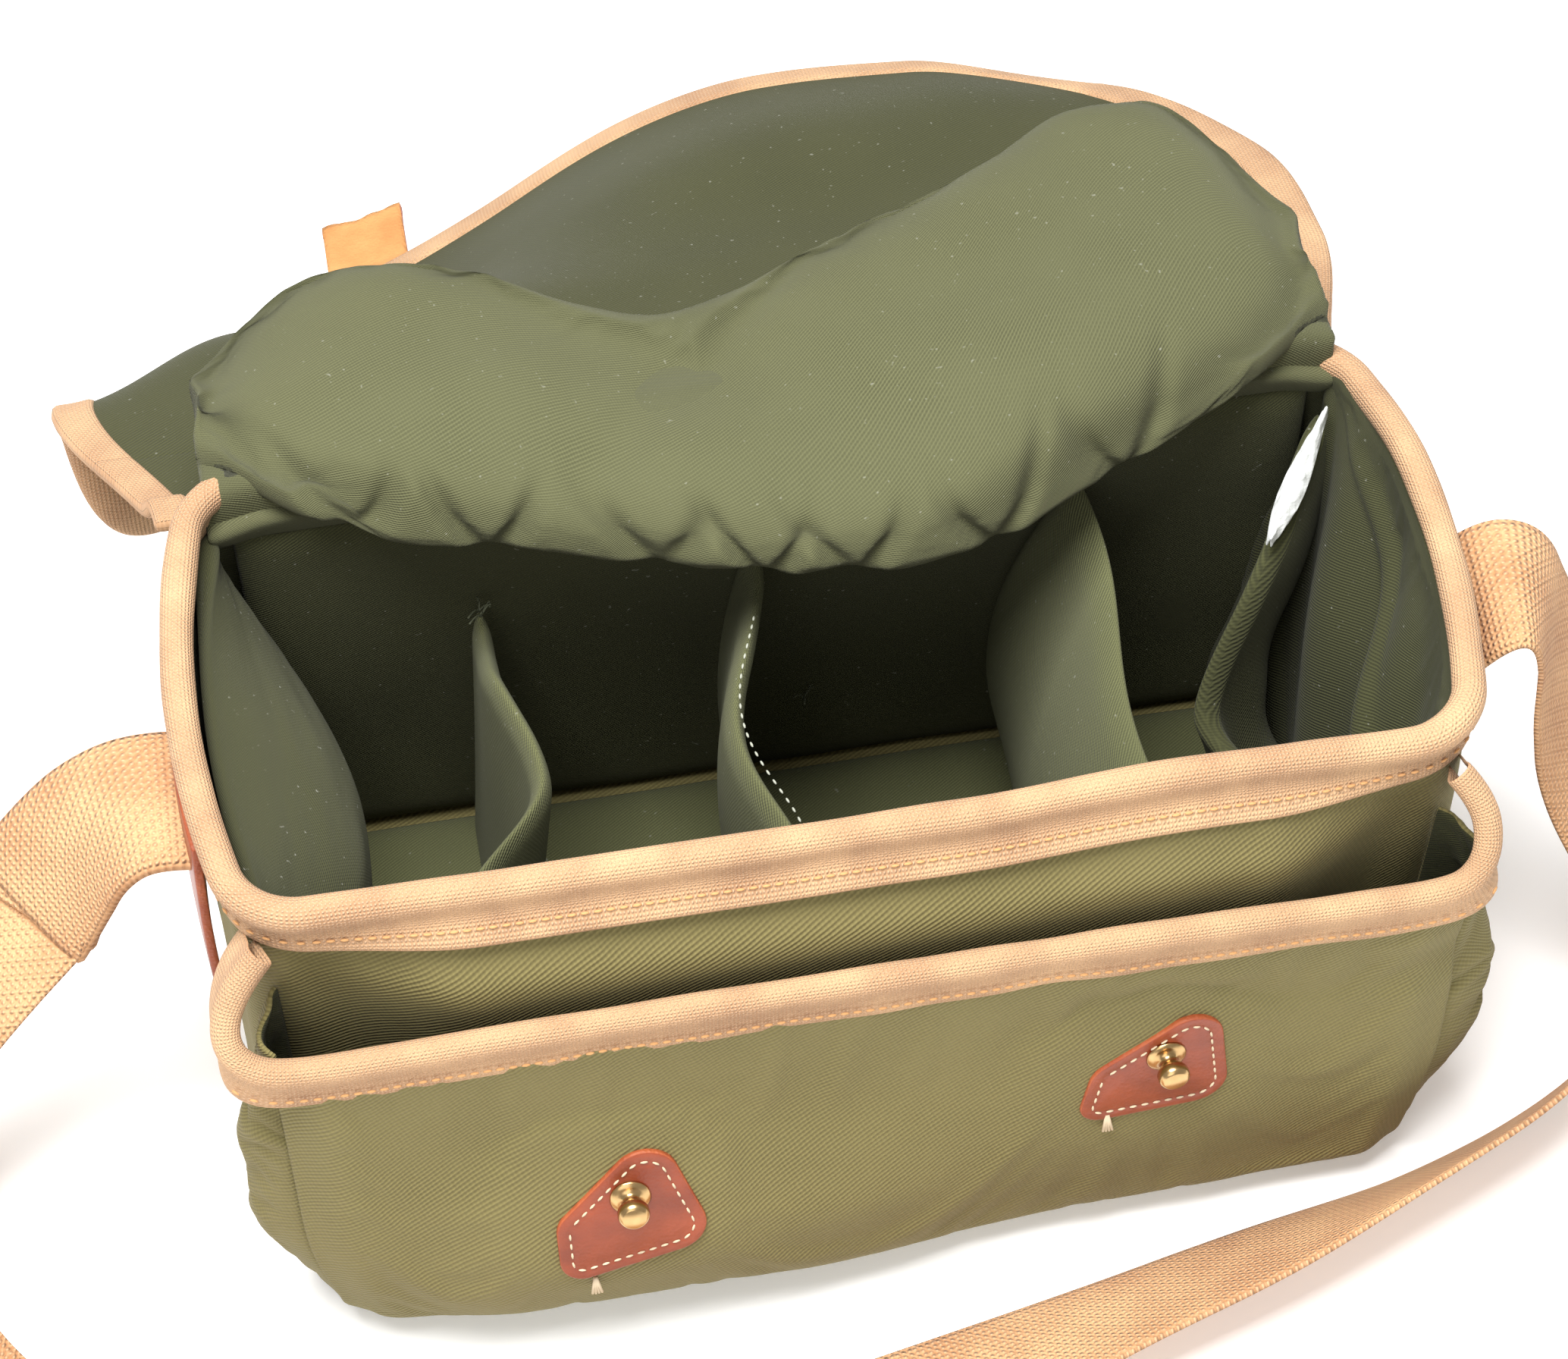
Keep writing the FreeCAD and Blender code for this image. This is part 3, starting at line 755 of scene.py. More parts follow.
# %% Binding
ROLL = [(0.0020, -0.0118), (0.0023, -0.0085), (0.0023, -0.0055), (0.0028, -0.0036), (0.0045, -0.0020),
        (0.0051, 0.0010), (0.0042, 0.0040), (0.0016, 0.0056), (-0.0016, 0.0056), (-0.0042, 0.0040),
        (-0.0051, 0.0010), (-0.0045, -0.0020), (-0.0030, -0.0036), (-0.0026, -0.0070), (-0.0024, -0.0110)]


def rim_point(distance, roll):
    out, up = roll
    swell = 1 + 0.1 * ripple(distance, 0, 0, 0.03, 5.0)
    if up < -0.003:
        return wall_point(distance, RIM_Z - 0.006 + up, out)
    return wall_point(distance, RIM_Z - 0.006, out * swell) + Vector((0, 0, up * swell))


rim = bmesh.new()
bmesh.ops.create_grid(rim, x_segments=360, y_segments=len(ROLL) - 1, size=1.0)
rim_cut = rim.verts.layers.float_vector.new(CUT)
for v in rim.verts:
    d = (v.co.x + 1) / 2 * LOOP
    row = round((v.co.y + 1) / 2 * (len(ROLL) - 1))
    v[rim_cut] = Vector((row * 0.0028, d, 0))
    v.co = rim_point(d, ROLL[row])
bmesh.ops.remove_doubles(rim, verts=rim.verts, dist=0.0002)
rim_tape = piece("rim_binding", rim, [tape])
thicken(rim_tape, 0.0008, -1.0)
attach(rim_tape, "bag")
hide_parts("binding_front", "binding_back", "binding_left", "binding_right")
rim_seam = seam(lambda d: rim_point(d, (0.0028, -0.0072)), LOOP, 0.0036)
sew("rim_stitches", rim_seam, tan_thread, "bag")

# %% [markdown]
# ## Bellows pocket
# The pocket's face follows its CAD solid. A ray cast forwards onto that solid
# finds the height of its belly at each point, so no number is copied. A gusset
# joins each side of the face to the body, folded outwards like a bellows.

# %% Pocket face
pocket_solid = bmesh.new()
pocket_solid.from_mesh(bpy.data.objects["pocket_front"].data)
pocket_cad = BVHTree.FromBMesh(pocket_solid)
pocket_solid.free()
POCKET_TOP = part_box("pocket_front")[1][2]
POCKET_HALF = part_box("pocket_front")[1][0]


def pocket_y(x, z):
    """The outer face of the pocket's CAD solid at a place."""
    x = min(max(x, -POCKET_HALF + 0.002), POCKET_HALF - 0.002)
    z = min(max(z, 0.0075), POCKET_TOP - 0.002)
    spot = pocket_cad.ray_cast(Vector((x, -0.4, z)), Vector((0, 1, 0)))[0]
    return spot.y if spot else -0.112


# the filled pocket sags: it stands out low down and draws in near its mouth
SAG = [0.0, -0.006, -0.0085, -0.001, 0.006, 0.0045, 0.0]


def sag(x, z):
    """How far the face stands in front of its CAD solid."""
    wide = (1 - 0.75 * ease((x + 0.03) / 0.09)) * (1 - 0.8 * ease((abs(x) - 0.11) / 0.05))
    return through(SAG, z / POCKET_TOP) * wide


def pocket_place(x, s):
    """A point on the pocket's face, s above its foot."""
    z = 0.0035 + s
    y = pocket_y(x, z) + sag(x, z)
    tuck = 0.007 * (1 - ease((z - 0.002) / 0.016))
    side = ease((abs(x) - 0.155) / 0.018)
    crease = -0.0025 * bump(z, 0.118 - 0.05 * (x - 0.05), 0.016) * ease((x - 0.01) / 0.06)
    slim = 1 - 0.045 * ease(1 - z / 0.07)
    return Vector((x * slim, y + tuck + 0.006 * side - crease, z))


def hold_pocket(co):
    """The face is held at its sides, mouth and foot, and round the leather pads."""
    side = ease((abs(co.x) - 0.150) / 0.012)
    top = ease((co.z - 0.136) / 0.008)
    foot = 1 - ease((co.z - 0.004) / 0.016)
    left_pad = bump(co.x, -0.081, 0.045) * bump(co.z, 0.07, 0.045)
    right_pad = bump(co.x, 0.079, 0.045) * bump(co.z, 0.084, 0.045)
    pads = max(left_pad, right_pad)
    return min(1.0, max(side, top, foot, 2.0 * pads))


face_grid = cloth_grid(120, 48, (2 * POCKET_HALF, POCKET_TOP - 0.003), pocket_place)
face = piece("pocket_face", face_grid, [canvas, lining])
settle(face, hold_pocket, growth=0.014, cap=0.003, push=0.2)
thicken(face, 0.0022, 1.0, lining=1)
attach(face, "pocket")
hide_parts("pocket_front")

# %% Gussets
def gusset_place(side):
    """The fold of cloth that joins the pocket's face to one side of the body."""
    deep = 0.052 if side > 0 else 0.042

    def place(x, s):
        t = x / 0.052 + 0.5
        z = 0.006 + s
        front = pocket_place(side * POCKET_HALF, min(z, POCKET_TOP - 0.004))
        near = Vector((side * 0.166, -0.0765, z))
        far = Vector((front.x - side * 0.001, front.y + 0.002, z))
        belly = side * (deep - 0.026 * ease((z - 0.085) / 0.055)
                        + 0.004 * ripple(z, side, 0, 0.03, 7.0))
        middle = Vector((side * 0.170 + belly * 0.72, -0.091, z))
        low = Vector((-side * 0.012, 0.004, 0)) * (1 - ease(z / 0.06))
        spot = near * (1 - t) ** 2 + middle * (2 * t * (1 - t)) + far * t ** 2
        return spot + low * (4 * t * (1 - t))
    return place


def hold_gusset(co):
    """A gusset is sewn to the body behind, to the pocket in front and at its foot."""
    return 1.0 if co.y > -0.079 or co.y < -0.101 or co.z < 0.01 else 0.12


for name, side in (("left", -1), ("right", 1)):
    bm = cloth_grid(16, 56, (0.052, POCKET_TOP - 0.002), gusset_place(side))
    if side > 0:
        bmesh.ops.reverse_faces(bm, faces=bm.faces)
    made = piece("pocket_gusset_fold_" + name, bm, [canvas, lining])
    settle(made, hold_gusset, growth=0.04, cap=0.004)
    thicken(made, 0.002, 1.0, lining=1)
    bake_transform(made)
    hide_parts("pocket_gusset_" + name)

# %% Pocket binding
# The tape starts at the rim, runs down the edge of one gusset, along the pocket's
# mouth and up the other gusset.
MOUTH_LINE = [Vector(p) for p in (
    (-0.1690, -0.0785, 0.1735), (-0.1785, -0.0840, 0.1660), (-0.1830, -0.0935, 0.1555),
    (-0.1775, -0.1010, 0.1495), (-0.1650, -0.1035, 0.1475), (-0.1200, -0.1030, 0.1485),
    (-0.0600, -0.1030, 0.1495), (0.0000, -0.1030, 0.1495), (0.0600, -0.1030, 0.1500),
    (0.1200, -0.1030, 0.1490), (0.1600, -0.1035, 0.1485), (0.1710, -0.1015, 0.1510),
    (0.1760, -0.0940, 0.1580), (0.1750, -0.0850, 0.1670), (0.1685, -0.0785, 0.1730))]
mouth_points = route_points(MOUTH_LINE, 16)
mouth_run = lengths(mouth_points)
MOUTH_ROLL = [(0.0020, -0.0135), (0.0024, -0.0095), (0.0028, -0.0060), (0.0030, -0.0036), (0.0040, -0.0018),
              (0.0043, 0.0010), (0.0034, 0.0034), (0.0012, 0.0046), (-0.0012, 0.0046), (-0.0034, 0.0034),
              (-0.0043, 0.0010), (-0.0036, -0.0020), (-0.0028, -0.0060), (-0.0024, -0.0100)]


def mouth_point(distance, roll):
    """A point on the pocket's tape: out is away from the bag and up is away from the cloth."""
    i = 0
    while i < len(mouth_run) - 2 and mouth_run[i + 1] < distance:
        i += 1
    f = (distance - mouth_run[i]) / (mouth_run[i + 1] - mouth_run[i])
    at = mouth_points[i].lerp(mouth_points[i + 1], f)
    heading = (mouth_points[i + 1] - mouth_points[i]).normalized()
    lean = ease((at.y + 0.1035) / 0.009)
    out_wish = Vector((math.copysign(lean, at.x), -1.0 + 0.75 * lean, 0.12 - 0.1 * lean))
    up_wish = Vector((math.copysign(0.15 * lean, at.x), -0.75 * lean, 1.0))
    out = (out_wish - heading * out_wish.dot(heading)).normalized()
    up = (up_wish - heading * up_wish.dot(heading))
    up = (up - out * up.dot(out)).normalized()
    a, b = roll
    swell = 1 + 0.1 * ripple(distance, 1, 0, 0.025, 9.0)
    return at + out * (a * swell) + up * (b * swell)


mouth = bmesh.new()
bmesh.ops.create_grid(mouth, x_segments=260, y_segments=len(MOUTH_ROLL) - 1, size=1.0)
mouth_cut = mouth.verts.layers.float_vector.new(CUT)
for v in mouth.verts:
    d = (v.co.x + 1) / 2 * mouth_run[-1] * 0.9999
    row = round((v.co.y + 1) / 2 * (len(MOUTH_ROLL) - 1))
    v[mouth_cut] = Vector((row * 0.0026, d, 0))
    v.co = mouth_point(d, MOUTH_ROLL[row])
mouth_tape = piece("pocket_mouth_binding", mouth, [tape])
thicken(mouth_tape, 0.0008, -1.0)
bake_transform(mouth_tape)
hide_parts("pocket_binding", "gusset_binding_left", "gusset_binding_right")
mouth_end = mouth_run[-1]
mouth_seam = seam(lambda d: mouth_point(min(d, mouth_end * 0.999), (0.0036, -0.0082)), mouth_end, 0.0036)
front_seam = [stitch for stitch in mouth_seam if stitch[0].y < -0.1]
sew("pocket_mouth_stitches", front_seam, tan_thread, "pocket")

# %% [markdown]
# ## Leather pads and studs
# Each pad is a rounded triangle: the hull of a few discs. The CAD pad gives the
# place and the way that it faces. The pad gets a bevelled burnished edge, and a
# line of cream stitches follows its outline. The stud is turned, so it is a
# profile that is spun round its axis.

# %% Pads
PAD_THICK = 0.0028
# each disc's distance from the middle, its angle and its radius
PAD_DISCS = ((0.0145, 68.0, 0.0100), (0.0135, -28.0, 0.0100),
             (0.0210, 224.0, 0.0070), (0.0130, 196.0, 0.0095))
PAD_TURN = {"left": 0.0, "right": -12.0}
STUD_AT = (0.0006, 0.0066)


def pad_place(node):
    """A matrix from a pad's own flat frame to the pocket's face, at the middle of the CAD pad."""
    low, high = (Vector(corner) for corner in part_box(node))
    x = (low.x + high.x) / 2
    s = (low.z + high.z) / 2 - 0.0035
    near = 0.014
    upright = (pocket_place(x, s + near) - pocket_place(x, s - near)).normalized()
    sideways = (pocket_place(x + near, s) - pocket_place(x - near, s)).normalized()
    facing = sideways.cross(upright).normalized()
    upright = facing.cross(sideways).normalized()
    turn = Matrix((sideways, upright, facing)).transposed().to_4x4()
    return Matrix.Translation(pocket_place(x, s) + facing * (PAD_THICK / 2 + 0.0006)) @ turn


def pad_outline(inset=0.0, steps=36):
    """Points round the hull of the discs, drawn in by inset."""
    bm = bmesh.new()
    for reach, angle, radius in PAD_DISCS:
        turn = math.radians(angle)
        spot = Matrix.Translation((reach * math.cos(turn), reach * math.sin(turn), 0))
        bmesh.ops.create_circle(bm, segments=steps, radius=radius - inset, matrix=spot)
    bmesh.ops.convex_hull(bm, input=bm.verts)
    loose = [v for v in bm.verts if not v.link_faces]
    bmesh.ops.delete(bm, geom=loose, context="VERTS")
    rim_verts = [v.co.copy() for v in bm.verts]
    bm.free()
    centre = sum(rim_verts, Vector()) / len(rim_verts)
    rim_verts.sort(key=lambda p: math.atan2(p.y - centre.y, p.x - centre.x))
    return rim_verts


def walk(points, distance):
    """The point at a distance along a closed line."""
    for a, b in zip(points, points[1:] + points[:1]):
        step = (b - a).length
        if distance <= step:
            return a.lerp(b, distance / max(step, 1e-9))
        distance -= step
    return points[0].copy()


for name in ("left", "right"):
    matrix = pad_place("stud_pad_" + name)
    outline = pad_outline()
    low = Vector((min(p.x for p in outline), min(p.y for p in outline), 0))
    high = Vector((max(p.x for p in outline), max(p.y for p in outline), 0))
    turned = Matrix.Rotation(math.radians(PAD_TURN[name]), 4, "Z")
    matrix = matrix @ turned @ Matrix.Translation(-(low + high) / 2)
    run = sum((b - a).length for a, b in zip(outline, outline[1:] + outline[:1]))
    even = [walk(outline, run * i / 120) for i in range(120)]
    bm = bmesh.new()
    ring = [bm.verts.new(p) for p in even]
    top = bm.faces.new(ring)
    grown = bmesh.ops.extrude_face_region(bm, geom=[top])
    lifted = [g for g in grown["geom"] if isinstance(g, bmesh.types.BMVert)]
    bmesh.ops.translate(bm, verts=lifted, vec=(0, 0, PAD_THICK))
    bmesh.ops.recalc_face_normals(bm, faces=bm.faces)
    edges = [e for e in bm.edges if all(v in lifted for v in e.verts)]
    bmesh.ops.bevel(bm, geom=edges, offset=0.0007, segments=3, affect="EDGES", profile=0.5, material=-1)
    flat = [f for f in bm.faces if f.normal.z > 0.99 and len(f.verts) > 50]
    for step, drop in ((0.0024, 0.0), (0.0009, -0.0003), (0.0010, 0.0003)):
        bmesh.ops.inset_region(bm, faces=flat, thickness=step, depth=drop, use_even_offset=True)
    for f in bm.faces:
        f.material_index = 1 if abs(f.normal.z) < 0.75 else 0
    bmesh.ops.transform(bm, matrix=matrix @ Matrix.Translation((0, 0, -PAD_THICK / 2)), verts=bm.verts)
    pad = piece("stud_pad_leather_" + name, bm, [tan_hide, tan_edge], "pocket", ["stud_pad_" + name])

    inner = pad_outline(0.0038)
    inner_run = sum((b - a).length for a, b in zip(inner, inner[1:] + inner[:1]))
    face_up = Vector((0, 0, PAD_THICK / 2))
    stitches = seam(lambda d: matrix @ (walk(inner, d % inner_run) + face_up), inner_run, 0.0036)
    sew("stud_pad_stitches_" + name, stitches, cream_thread, "pocket", long=0.0026, thick=0.0004)

# %% Thread tails
for name, x, z in (("left", -0.0905, 0.0465), ("right", 0.0665, 0.0665)):
    tails = bmesh.new()
    for turn in range(4):
        lean = math.radians(-13 + 9 * turn)
        start = pocket_place(x, z) + Vector((0, -0.003, 0))
        tip = start + Vector((0.0062 * math.sin(lean), -0.0022, -0.0062 * math.cos(lean)))
        middle = (start + tip) / 2
        turned = (tip - start).to_track_quat("Z", "Y").to_matrix().to_4x4()
        bmesh.ops.create_cone(tails, cap_ends=True, segments=6, radius1=0.0007, radius2=0.0004,
                              depth=(tip - start).length, matrix=Matrix.Translation(middle) @ turned)
    piece("pad_thread_tail_" + name, tails, [cream_thread], "pocket")

# %% Studs
# the turned section, as a radius and a height: flange, neck and ball head
PROFILE = ((0.0, 0.0), (0.0060, 0.0), (0.0061, 0.0005), (0.0057, 0.0010), (0.0044, 0.0014),
           (0.0033, 0.0018), (0.0027, 0.0026), (0.0025, 0.0036), (0.0027, 0.0046), (0.0034, 0.0051),
           (0.0043, 0.0057), (0.0047, 0.0066), (0.0047, 0.0082), (0.0044, 0.0092), (0.0037, 0.0098),
           (0.0034, 0.0100), (0.0, 0.0100))
for name in ("left", "right"):
    matrix = pad_place("stud_pad_" + name)
    bm = bmesh.new()
    line = [bm.verts.new((r, 0, h)) for r, h in PROFILE]
    edges = [bm.edges.new(pair) for pair in zip(line, line[1:])]
    bmesh.ops.spin(bm, geom=line + edges, cent=(0, 0, 0), axis=(0, 0, 1), angle=2 * math.pi,
                   steps=48, use_merge=True)
    bmesh.ops.remove_doubles(bm, verts=bm.verts, dist=0.00002)
    bmesh.ops.recalc_face_normals(bm, faces=bm.faces)
    bmesh.ops.transform(bm, matrix=matrix @ Matrix.Translation((*STUD_AT, PAD_THICK / 2)), verts=bm.verts)
    stud = piece("brass_stud_" + name, bm, [brass], "pocket", ["stud_" + name])
    washer = bpy.data.objects["stud_washer_" + name].data.materials
    washer.clear()
    washer.append(brass)

# %% [markdown]
# ## Padded insert
# The insert is a box of soft pads. A pad is a closed pillow: two grids welded at
# their edges, where they draw together. The cloth run inflates it slightly
# between its seams. The dividers are slack, so their top edges wander.

# %% Pillow helper
def pillow(cells, rows, place, thick):
    """A closed pad, thick at its middle. place maps a, b in 0 to 1 to a point, facing and cut."""
    bm = bmesh.new()
    cut = bm.verts.layers.float_vector.new(CUT)
    for sign in (1, -1):
        grown = bmesh.ops.create_grid(bm, x_segments=cells, y_segments=rows, size=1.0)
        for v in grown["verts"]:
            a = (v.co.x + 1) / 2
            b = (v.co.y + 1) / 2
            edge = min(a, 1 - a) * cells, min(b, 1 - b) * rows
            plump = ease(min(edge) / 2.5) ** 0.5
            at, facing, flat = place(a, b)
            v[cut] = Vector((flat[0], flat[1], 0))
            v.co = at + facing * (sign * plump * thick / 2)
        if sign < 0:
            bmesh.ops.reverse_faces(bm, faces=list({f for v in grown["verts"] for f in v.link_faces}))
    bmesh.ops.remove_doubles(bm, verts=bm.verts, dist=0.00002)
    bmesh.ops.recalc_face_normals(bm, faces=bm.faces)
    return bm


def wall_pad(name, node, place, thick, cells=(44, 34), look=lining, growth=0.04, cap=0.006,
             body="bag"):
    """A pad that settles, is smoothed and stands for one node of the insert."""
    made = piece(name, pillow(cells[0], cells[1], place, thick), [look])
    settle(made, lambda co: 0.05, growth=growth, cap=cap, push=1.2)
    smoother = made.modifiers.new("smoother", "SUBSURF")
    smoother.levels = 1
    smoother.render_levels = 1
    bake(made)
    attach(made, body)
    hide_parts(node)


FLOOR_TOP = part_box("insert_floor")[1][2]
INSERT_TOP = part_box("insert_back")[1][2]


def long_wall(y, long, top):
    """The middle of the front or back pad, which stands at y."""
    def place(a, b):
        x = (a - 0.5) * long
        z = FLOOR_TOP - 0.002 + b * (top - FLOOR_TOP)
        wander = 0.0015 * ripple(x, y, z, 0.05, 11.0)
        return Vector((x, y + wander, z)), Vector((0, -1, 0)), (x, z)
    return place


def floor_place(a, b):
    x = (a - 0.5) * 0.314
    y = (b - 0.5) * 0.124
    return Vector((x, y, FLOOR_TOP - 0.0036 + 0.0008 * ripple(x, y, 0, 0.04, 4.0))), Vector((0, 0, 1)), (x, y)


back_y = (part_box("insert_back")[0][1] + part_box("insert_back")[1][1]) / 2
front_y = (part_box("insert_front")[0][1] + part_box("insert_front")[1][1]) / 2
back_wall = long_wall(back_y, 0.330, INSERT_TOP + 0.014)
front_wall = long_wall(front_y, 0.314, INSERT_TOP)
wall_pad("insert_back_pad", "insert_back", back_wall, 0.007, cells=(70, 34))
wall_pad("insert_front_pad", "insert_front", front_wall, 0.007, cells=(70, 34))
wall_pad("insert_floor_pad", "insert_floor", floor_place, 0.0062, cells=(70, 30),
         look=pad_cloth, cap=0.002)


LEFT_EDGE = [-0.148, -0.140, -0.139, -0.142, -0.149, -0.158, -0.167]
RIGHT_EDGE = [0.150, 0.138, 0.126, 0.121, 0.138, 0.155, 0.166]
RIGHT_TOP = [0.140, 0.112, 0.098, 0.104, 0.138, 0.156, 0.166]


def end_x(y):
    """How far out the canvas wall stands at the end of the bag."""
    return HALF_X + END_BULGE * (1 - (y / 0.08) ** 2)


def left_line(a, b):
    """The pad's middle, from the floor up to its crown and out to the rim."""
    y = (a - 0.5) * 0.134
    crown = through(LEFT_EDGE, a) - 0.002
    line = [Vector((-0.150, y, FLOOR_TOP + 0.002)), Vector((-0.149, y, 0.06)),
            Vector(((crown - 0.147) / 2, y, 0.112)), Vector((crown, y, 0.150)),
            Vector(((crown - end_x(y)) / 2, y, 0.171)), Vector((-end_x(y) + 0.005, y, 0.179))]
    return through(line, b) + Vector((0.003 * ripple(y, b, 0, 0.03, 13.0) * ease(1 - b), 0, 0))


def left_end(a, b):
    at = left_line(a, b)
    up = left_line(a, min(b + 0.02, 1.0)) - left_line(a, max(b - 0.02, 0.0))
    aside = left_line(min(a + 0.02, 1.0), b) - left_line(max(a - 0.02, 0.0), b)
    return at, aside.cross(up).normalized(), (at.y, b * 0.2)


def right_end(a, b):
    """Torn loose at its top, so it has slumped inwards in the middle."""
    y = (a - 0.5) * 0.126
    line = [Vector((0.150, y, FLOOR_TOP + 0.001)), Vector((0.146, y, 0.05)),
            Vector((through(RIGHT_EDGE, a) + 0.004, y, through(RIGHT_TOP, a) - 0.028)),
            Vector((through(RIGHT_EDGE, a), y, through(RIGHT_TOP, a)))]
    at = through(line, b)
    at.x += 0.003 * ripple(y, at.z, 1.0, 0.028, 17.0) + 0.006 * bump(y + 0.6 * (at.z - 0.1), -0.02, 0.025)
    return at, Vector((-1, 0, 0.1)), (y, at.z)


wall_pad("insert_end_pad_left", "insert_end_left", left_end, 0.007, cells=(44, 56), cap=0.005,
         growth=0.05)
wall_pad("insert_end_pad_right", "insert_end_right", right_end, 0.0085, cells=(44, 44), cap=0.006,
         growth=0.06)

# %% Loose cover behind the torn pad
def cover_place(x, s):
    """The pad's cover still hangs from the rim; it falls inwards in soft upright folds."""
    y = x
    t = s / 0.19
    out = end_x(y) - 0.003
    line = [Vector((out, y, 0.180)), Vector((out - 0.006, y, 0.160)), Vector((0.160, y, 0.115)),
            Vector((0.156, y, 0.060)), Vector((0.157, y, FLOOR_TOP))]
    folds = 0.004 * math.sin(y * 115 + 1.2 + 9 * t) + 0.005 * bump(y + 0.25 * (t - 0.4), -0.018, 0.012)
    return through(line, t) - Vector((folds * ease(t / 0.35), 0, 0))


cover = piece("insert_end_cover_right", cloth_grid(56, 60, (0.128, 0.19), cover_place), [lining])
settle(cover, lambda co: 1.0 if co.z > 0.176 or abs(co.y) > 0.062 else 0.05, growth=0.03, cap=0.004)
thicken(cover, 0.0016, 0.0)
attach(cover, "bag")

# %% Dividers
DIVIDER_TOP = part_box("divider_1")[1][2]


def divider_place(foot, waist, top, swerve, slump):
    """A slack divider: foot, waist and top are its x in profile, swerve and slump its waver."""
    def place(a, b):
        y = (a - 0.5) * 0.120
        z = FLOOR_TOP + 0.001 + b * (DIVIDER_TOP - FLOOR_TOP - 0.001)
        x = foot * (1 - b) * (1 - 2 * b) + waist * 4 * b * (1 - b) + top * b * (2 * b - 1)
        x += swerve(y) * b
        z -= slump(y) * b
        return Vector((x, y * (1 - 0.02 * b), z)), Vector((1, 0, 0)), (y, z)
    return place


dividers = {
    "divider_1": divider_place(-0.101, -0.097, -0.094,
                               lambda y: 0.010 * bump(y, -0.02, 0.045) - 0.018 * ease((-y - 0.02) / 0.04),
                               lambda y: 0.024 * ease((y - 0.012) / 0.04)),
    "divider_2": divider_place(-0.012, -0.022, -0.015,
                               lambda y: -0.011 * bump(y, -0.016, 0.045) + 0.006 * ease((y - 0.02) / 0.03),
                               lambda y: 0.006 * ease((y - 0.01) / 0.03)),
    "divider_3": divider_place(0.082, 0.068, 0.091,
                               lambda y: 0.003 * math.sin(y * 50), lambda y: 0.0),
}
for node, place in dividers.items():
    wall_pad(node + "_pad", node, place, 0.0065, cells=(36, 42), look=pad_cloth,
             growth=0.05, body=node)

# %% [markdown]
# ## Inner flap
# The padded flap is sewn to the insert's rear wall. It rolls forward over the
# mouth, then lies back in two soft lobes. The place function gives its
# section at each x: up the inside, round the roll, over the top, round the free
# edge and back below. Gathers pinch the roll where the sewing pulls it.

# %% Flap section
FLAP_HALF = 0.170
# how far back the roll starts and the free edge lies, and how high the lobes stand,
# at even steps from left to right
ROLL_FRONT = [0.079, 0.056, 0.043, 0.036, 0.027, 0.018, 0.012, 0.009, 0.014, 0.029, 0.042, 0.056, 0.075]
FREE_EDGE = [0.110, 0.134, 0.141, 0.134, 0.120, 0.108, 0.116, 0.127, 0.138, 0.152, 0.166, 0.160, 0.118]
CREST = [0.201, 0.206, 0.208, 0.206, 0.203, 0.202, 0.203, 0.206, 0.209, 0.211, 0.211, 0.208, 0.201]
# each gather's place and half its width
GATHERS = ((-0.130, 0.012), (-0.090, 0.010), (-0.042, 0.015), (-0.012, 0.009), (0.014, 0.011), (0.056, 0.010),
           (0.098, 0.012))
FLAP_LONG = 0.36


def gather(aside, up, half):
    """Two creases that spread upwards in a V from one pinched stitch."""
    if up > 0.065:
        return 0.0
    depth = 1 - up / 0.065
    spread = 0.30 * up
    return depth * max(bump(aside, spread, half * 0.5), bump(aside, -spread, half * 0.5))


def flap_place(x, s):
    """s runs round the section from the hidden seam, over the top, to the underside."""
    t = (x + FLAP_HALF) / (2 * FLAP_HALF)
    front = through(ROLL_FRONT, t)
    edge = through(FREE_EDGE, t)
    crest = through(CREST, t)
    up = abs(s - 0.066)
    pinch = sum(gather(x - at, up, half) for at, half in GATHERS)
    drop = 0.0015 * ripple(x, 0, 0, 0.02, 21.0)
    valley = 0.003 * bump(x, -0.028, 0.045)
    line = [Vector((0, 0.066, 0.168)), Vector((0, 0.062, 0.180)),
            Vector((0, front + 0.010, 0.181 + drop)),
            Vector((0, front + 0.001 + 0.004 * pinch, 0.187)),
            Vector((0, front + 0.003 + 0.012 * pinch, 0.196 - 0.003 * pinch)),
            Vector((0, front + 0.015 + 0.008 * pinch, crest - 0.001 - 0.009 * pinch)),
            Vector((0, front * 0.55 + edge * 0.45, crest + 0.001)),
            Vector((0, front * 0.3 + edge * 0.7, crest - 0.001 - valley)),
            Vector((0, front * 0.1 + edge * 0.9, crest - 0.004 - valley)),
            Vector((0, edge, max(crest - 0.009 - valley, 0.1925))),
            Vector((0, edge - 0.003, max(crest - 0.016 - valley, 0.1895))),
            Vector((0, (edge + 0.090) / 2, max(crest - 0.0175 - valley, 0.1885))),
            Vector((0, 0.088, 0.1905)), Vector((0, 0.078, 0.1925)), Vector((0, 0.067, 0.190)),
            Vector((0, 0.066, 0.168))]
    at = through(line, s / FLAP_LONG)
    if 0.09 < s < 0.25:
        soft = ease((s - 0.09) / 0.03) * ease((0.25 - s) / 0.03)
        dimple = 0.002 * bump(x - 0.9 * (at.y - 0.08), -0.03, 0.018)
        at.z += soft * (0.0030 * ripple(x, at.y, 0, 0.045, 23.0) - dimple)
    wide = 1 - 0.012 * ease((at.y - 0.09) / 0.05)
    at.x = x * wide
    at.z -= 0.0035 * ease((abs(x) - 0.152) / 0.018)
    return at


def hold_flap(co):
    """The flap is held where it is sewn, inside the rear wall."""
    hidden = 1.0 if co.z < 0.181 or (co.z < 0.195 and co.y > 0.058) else 0.0
    return max(hidden, 0.06)


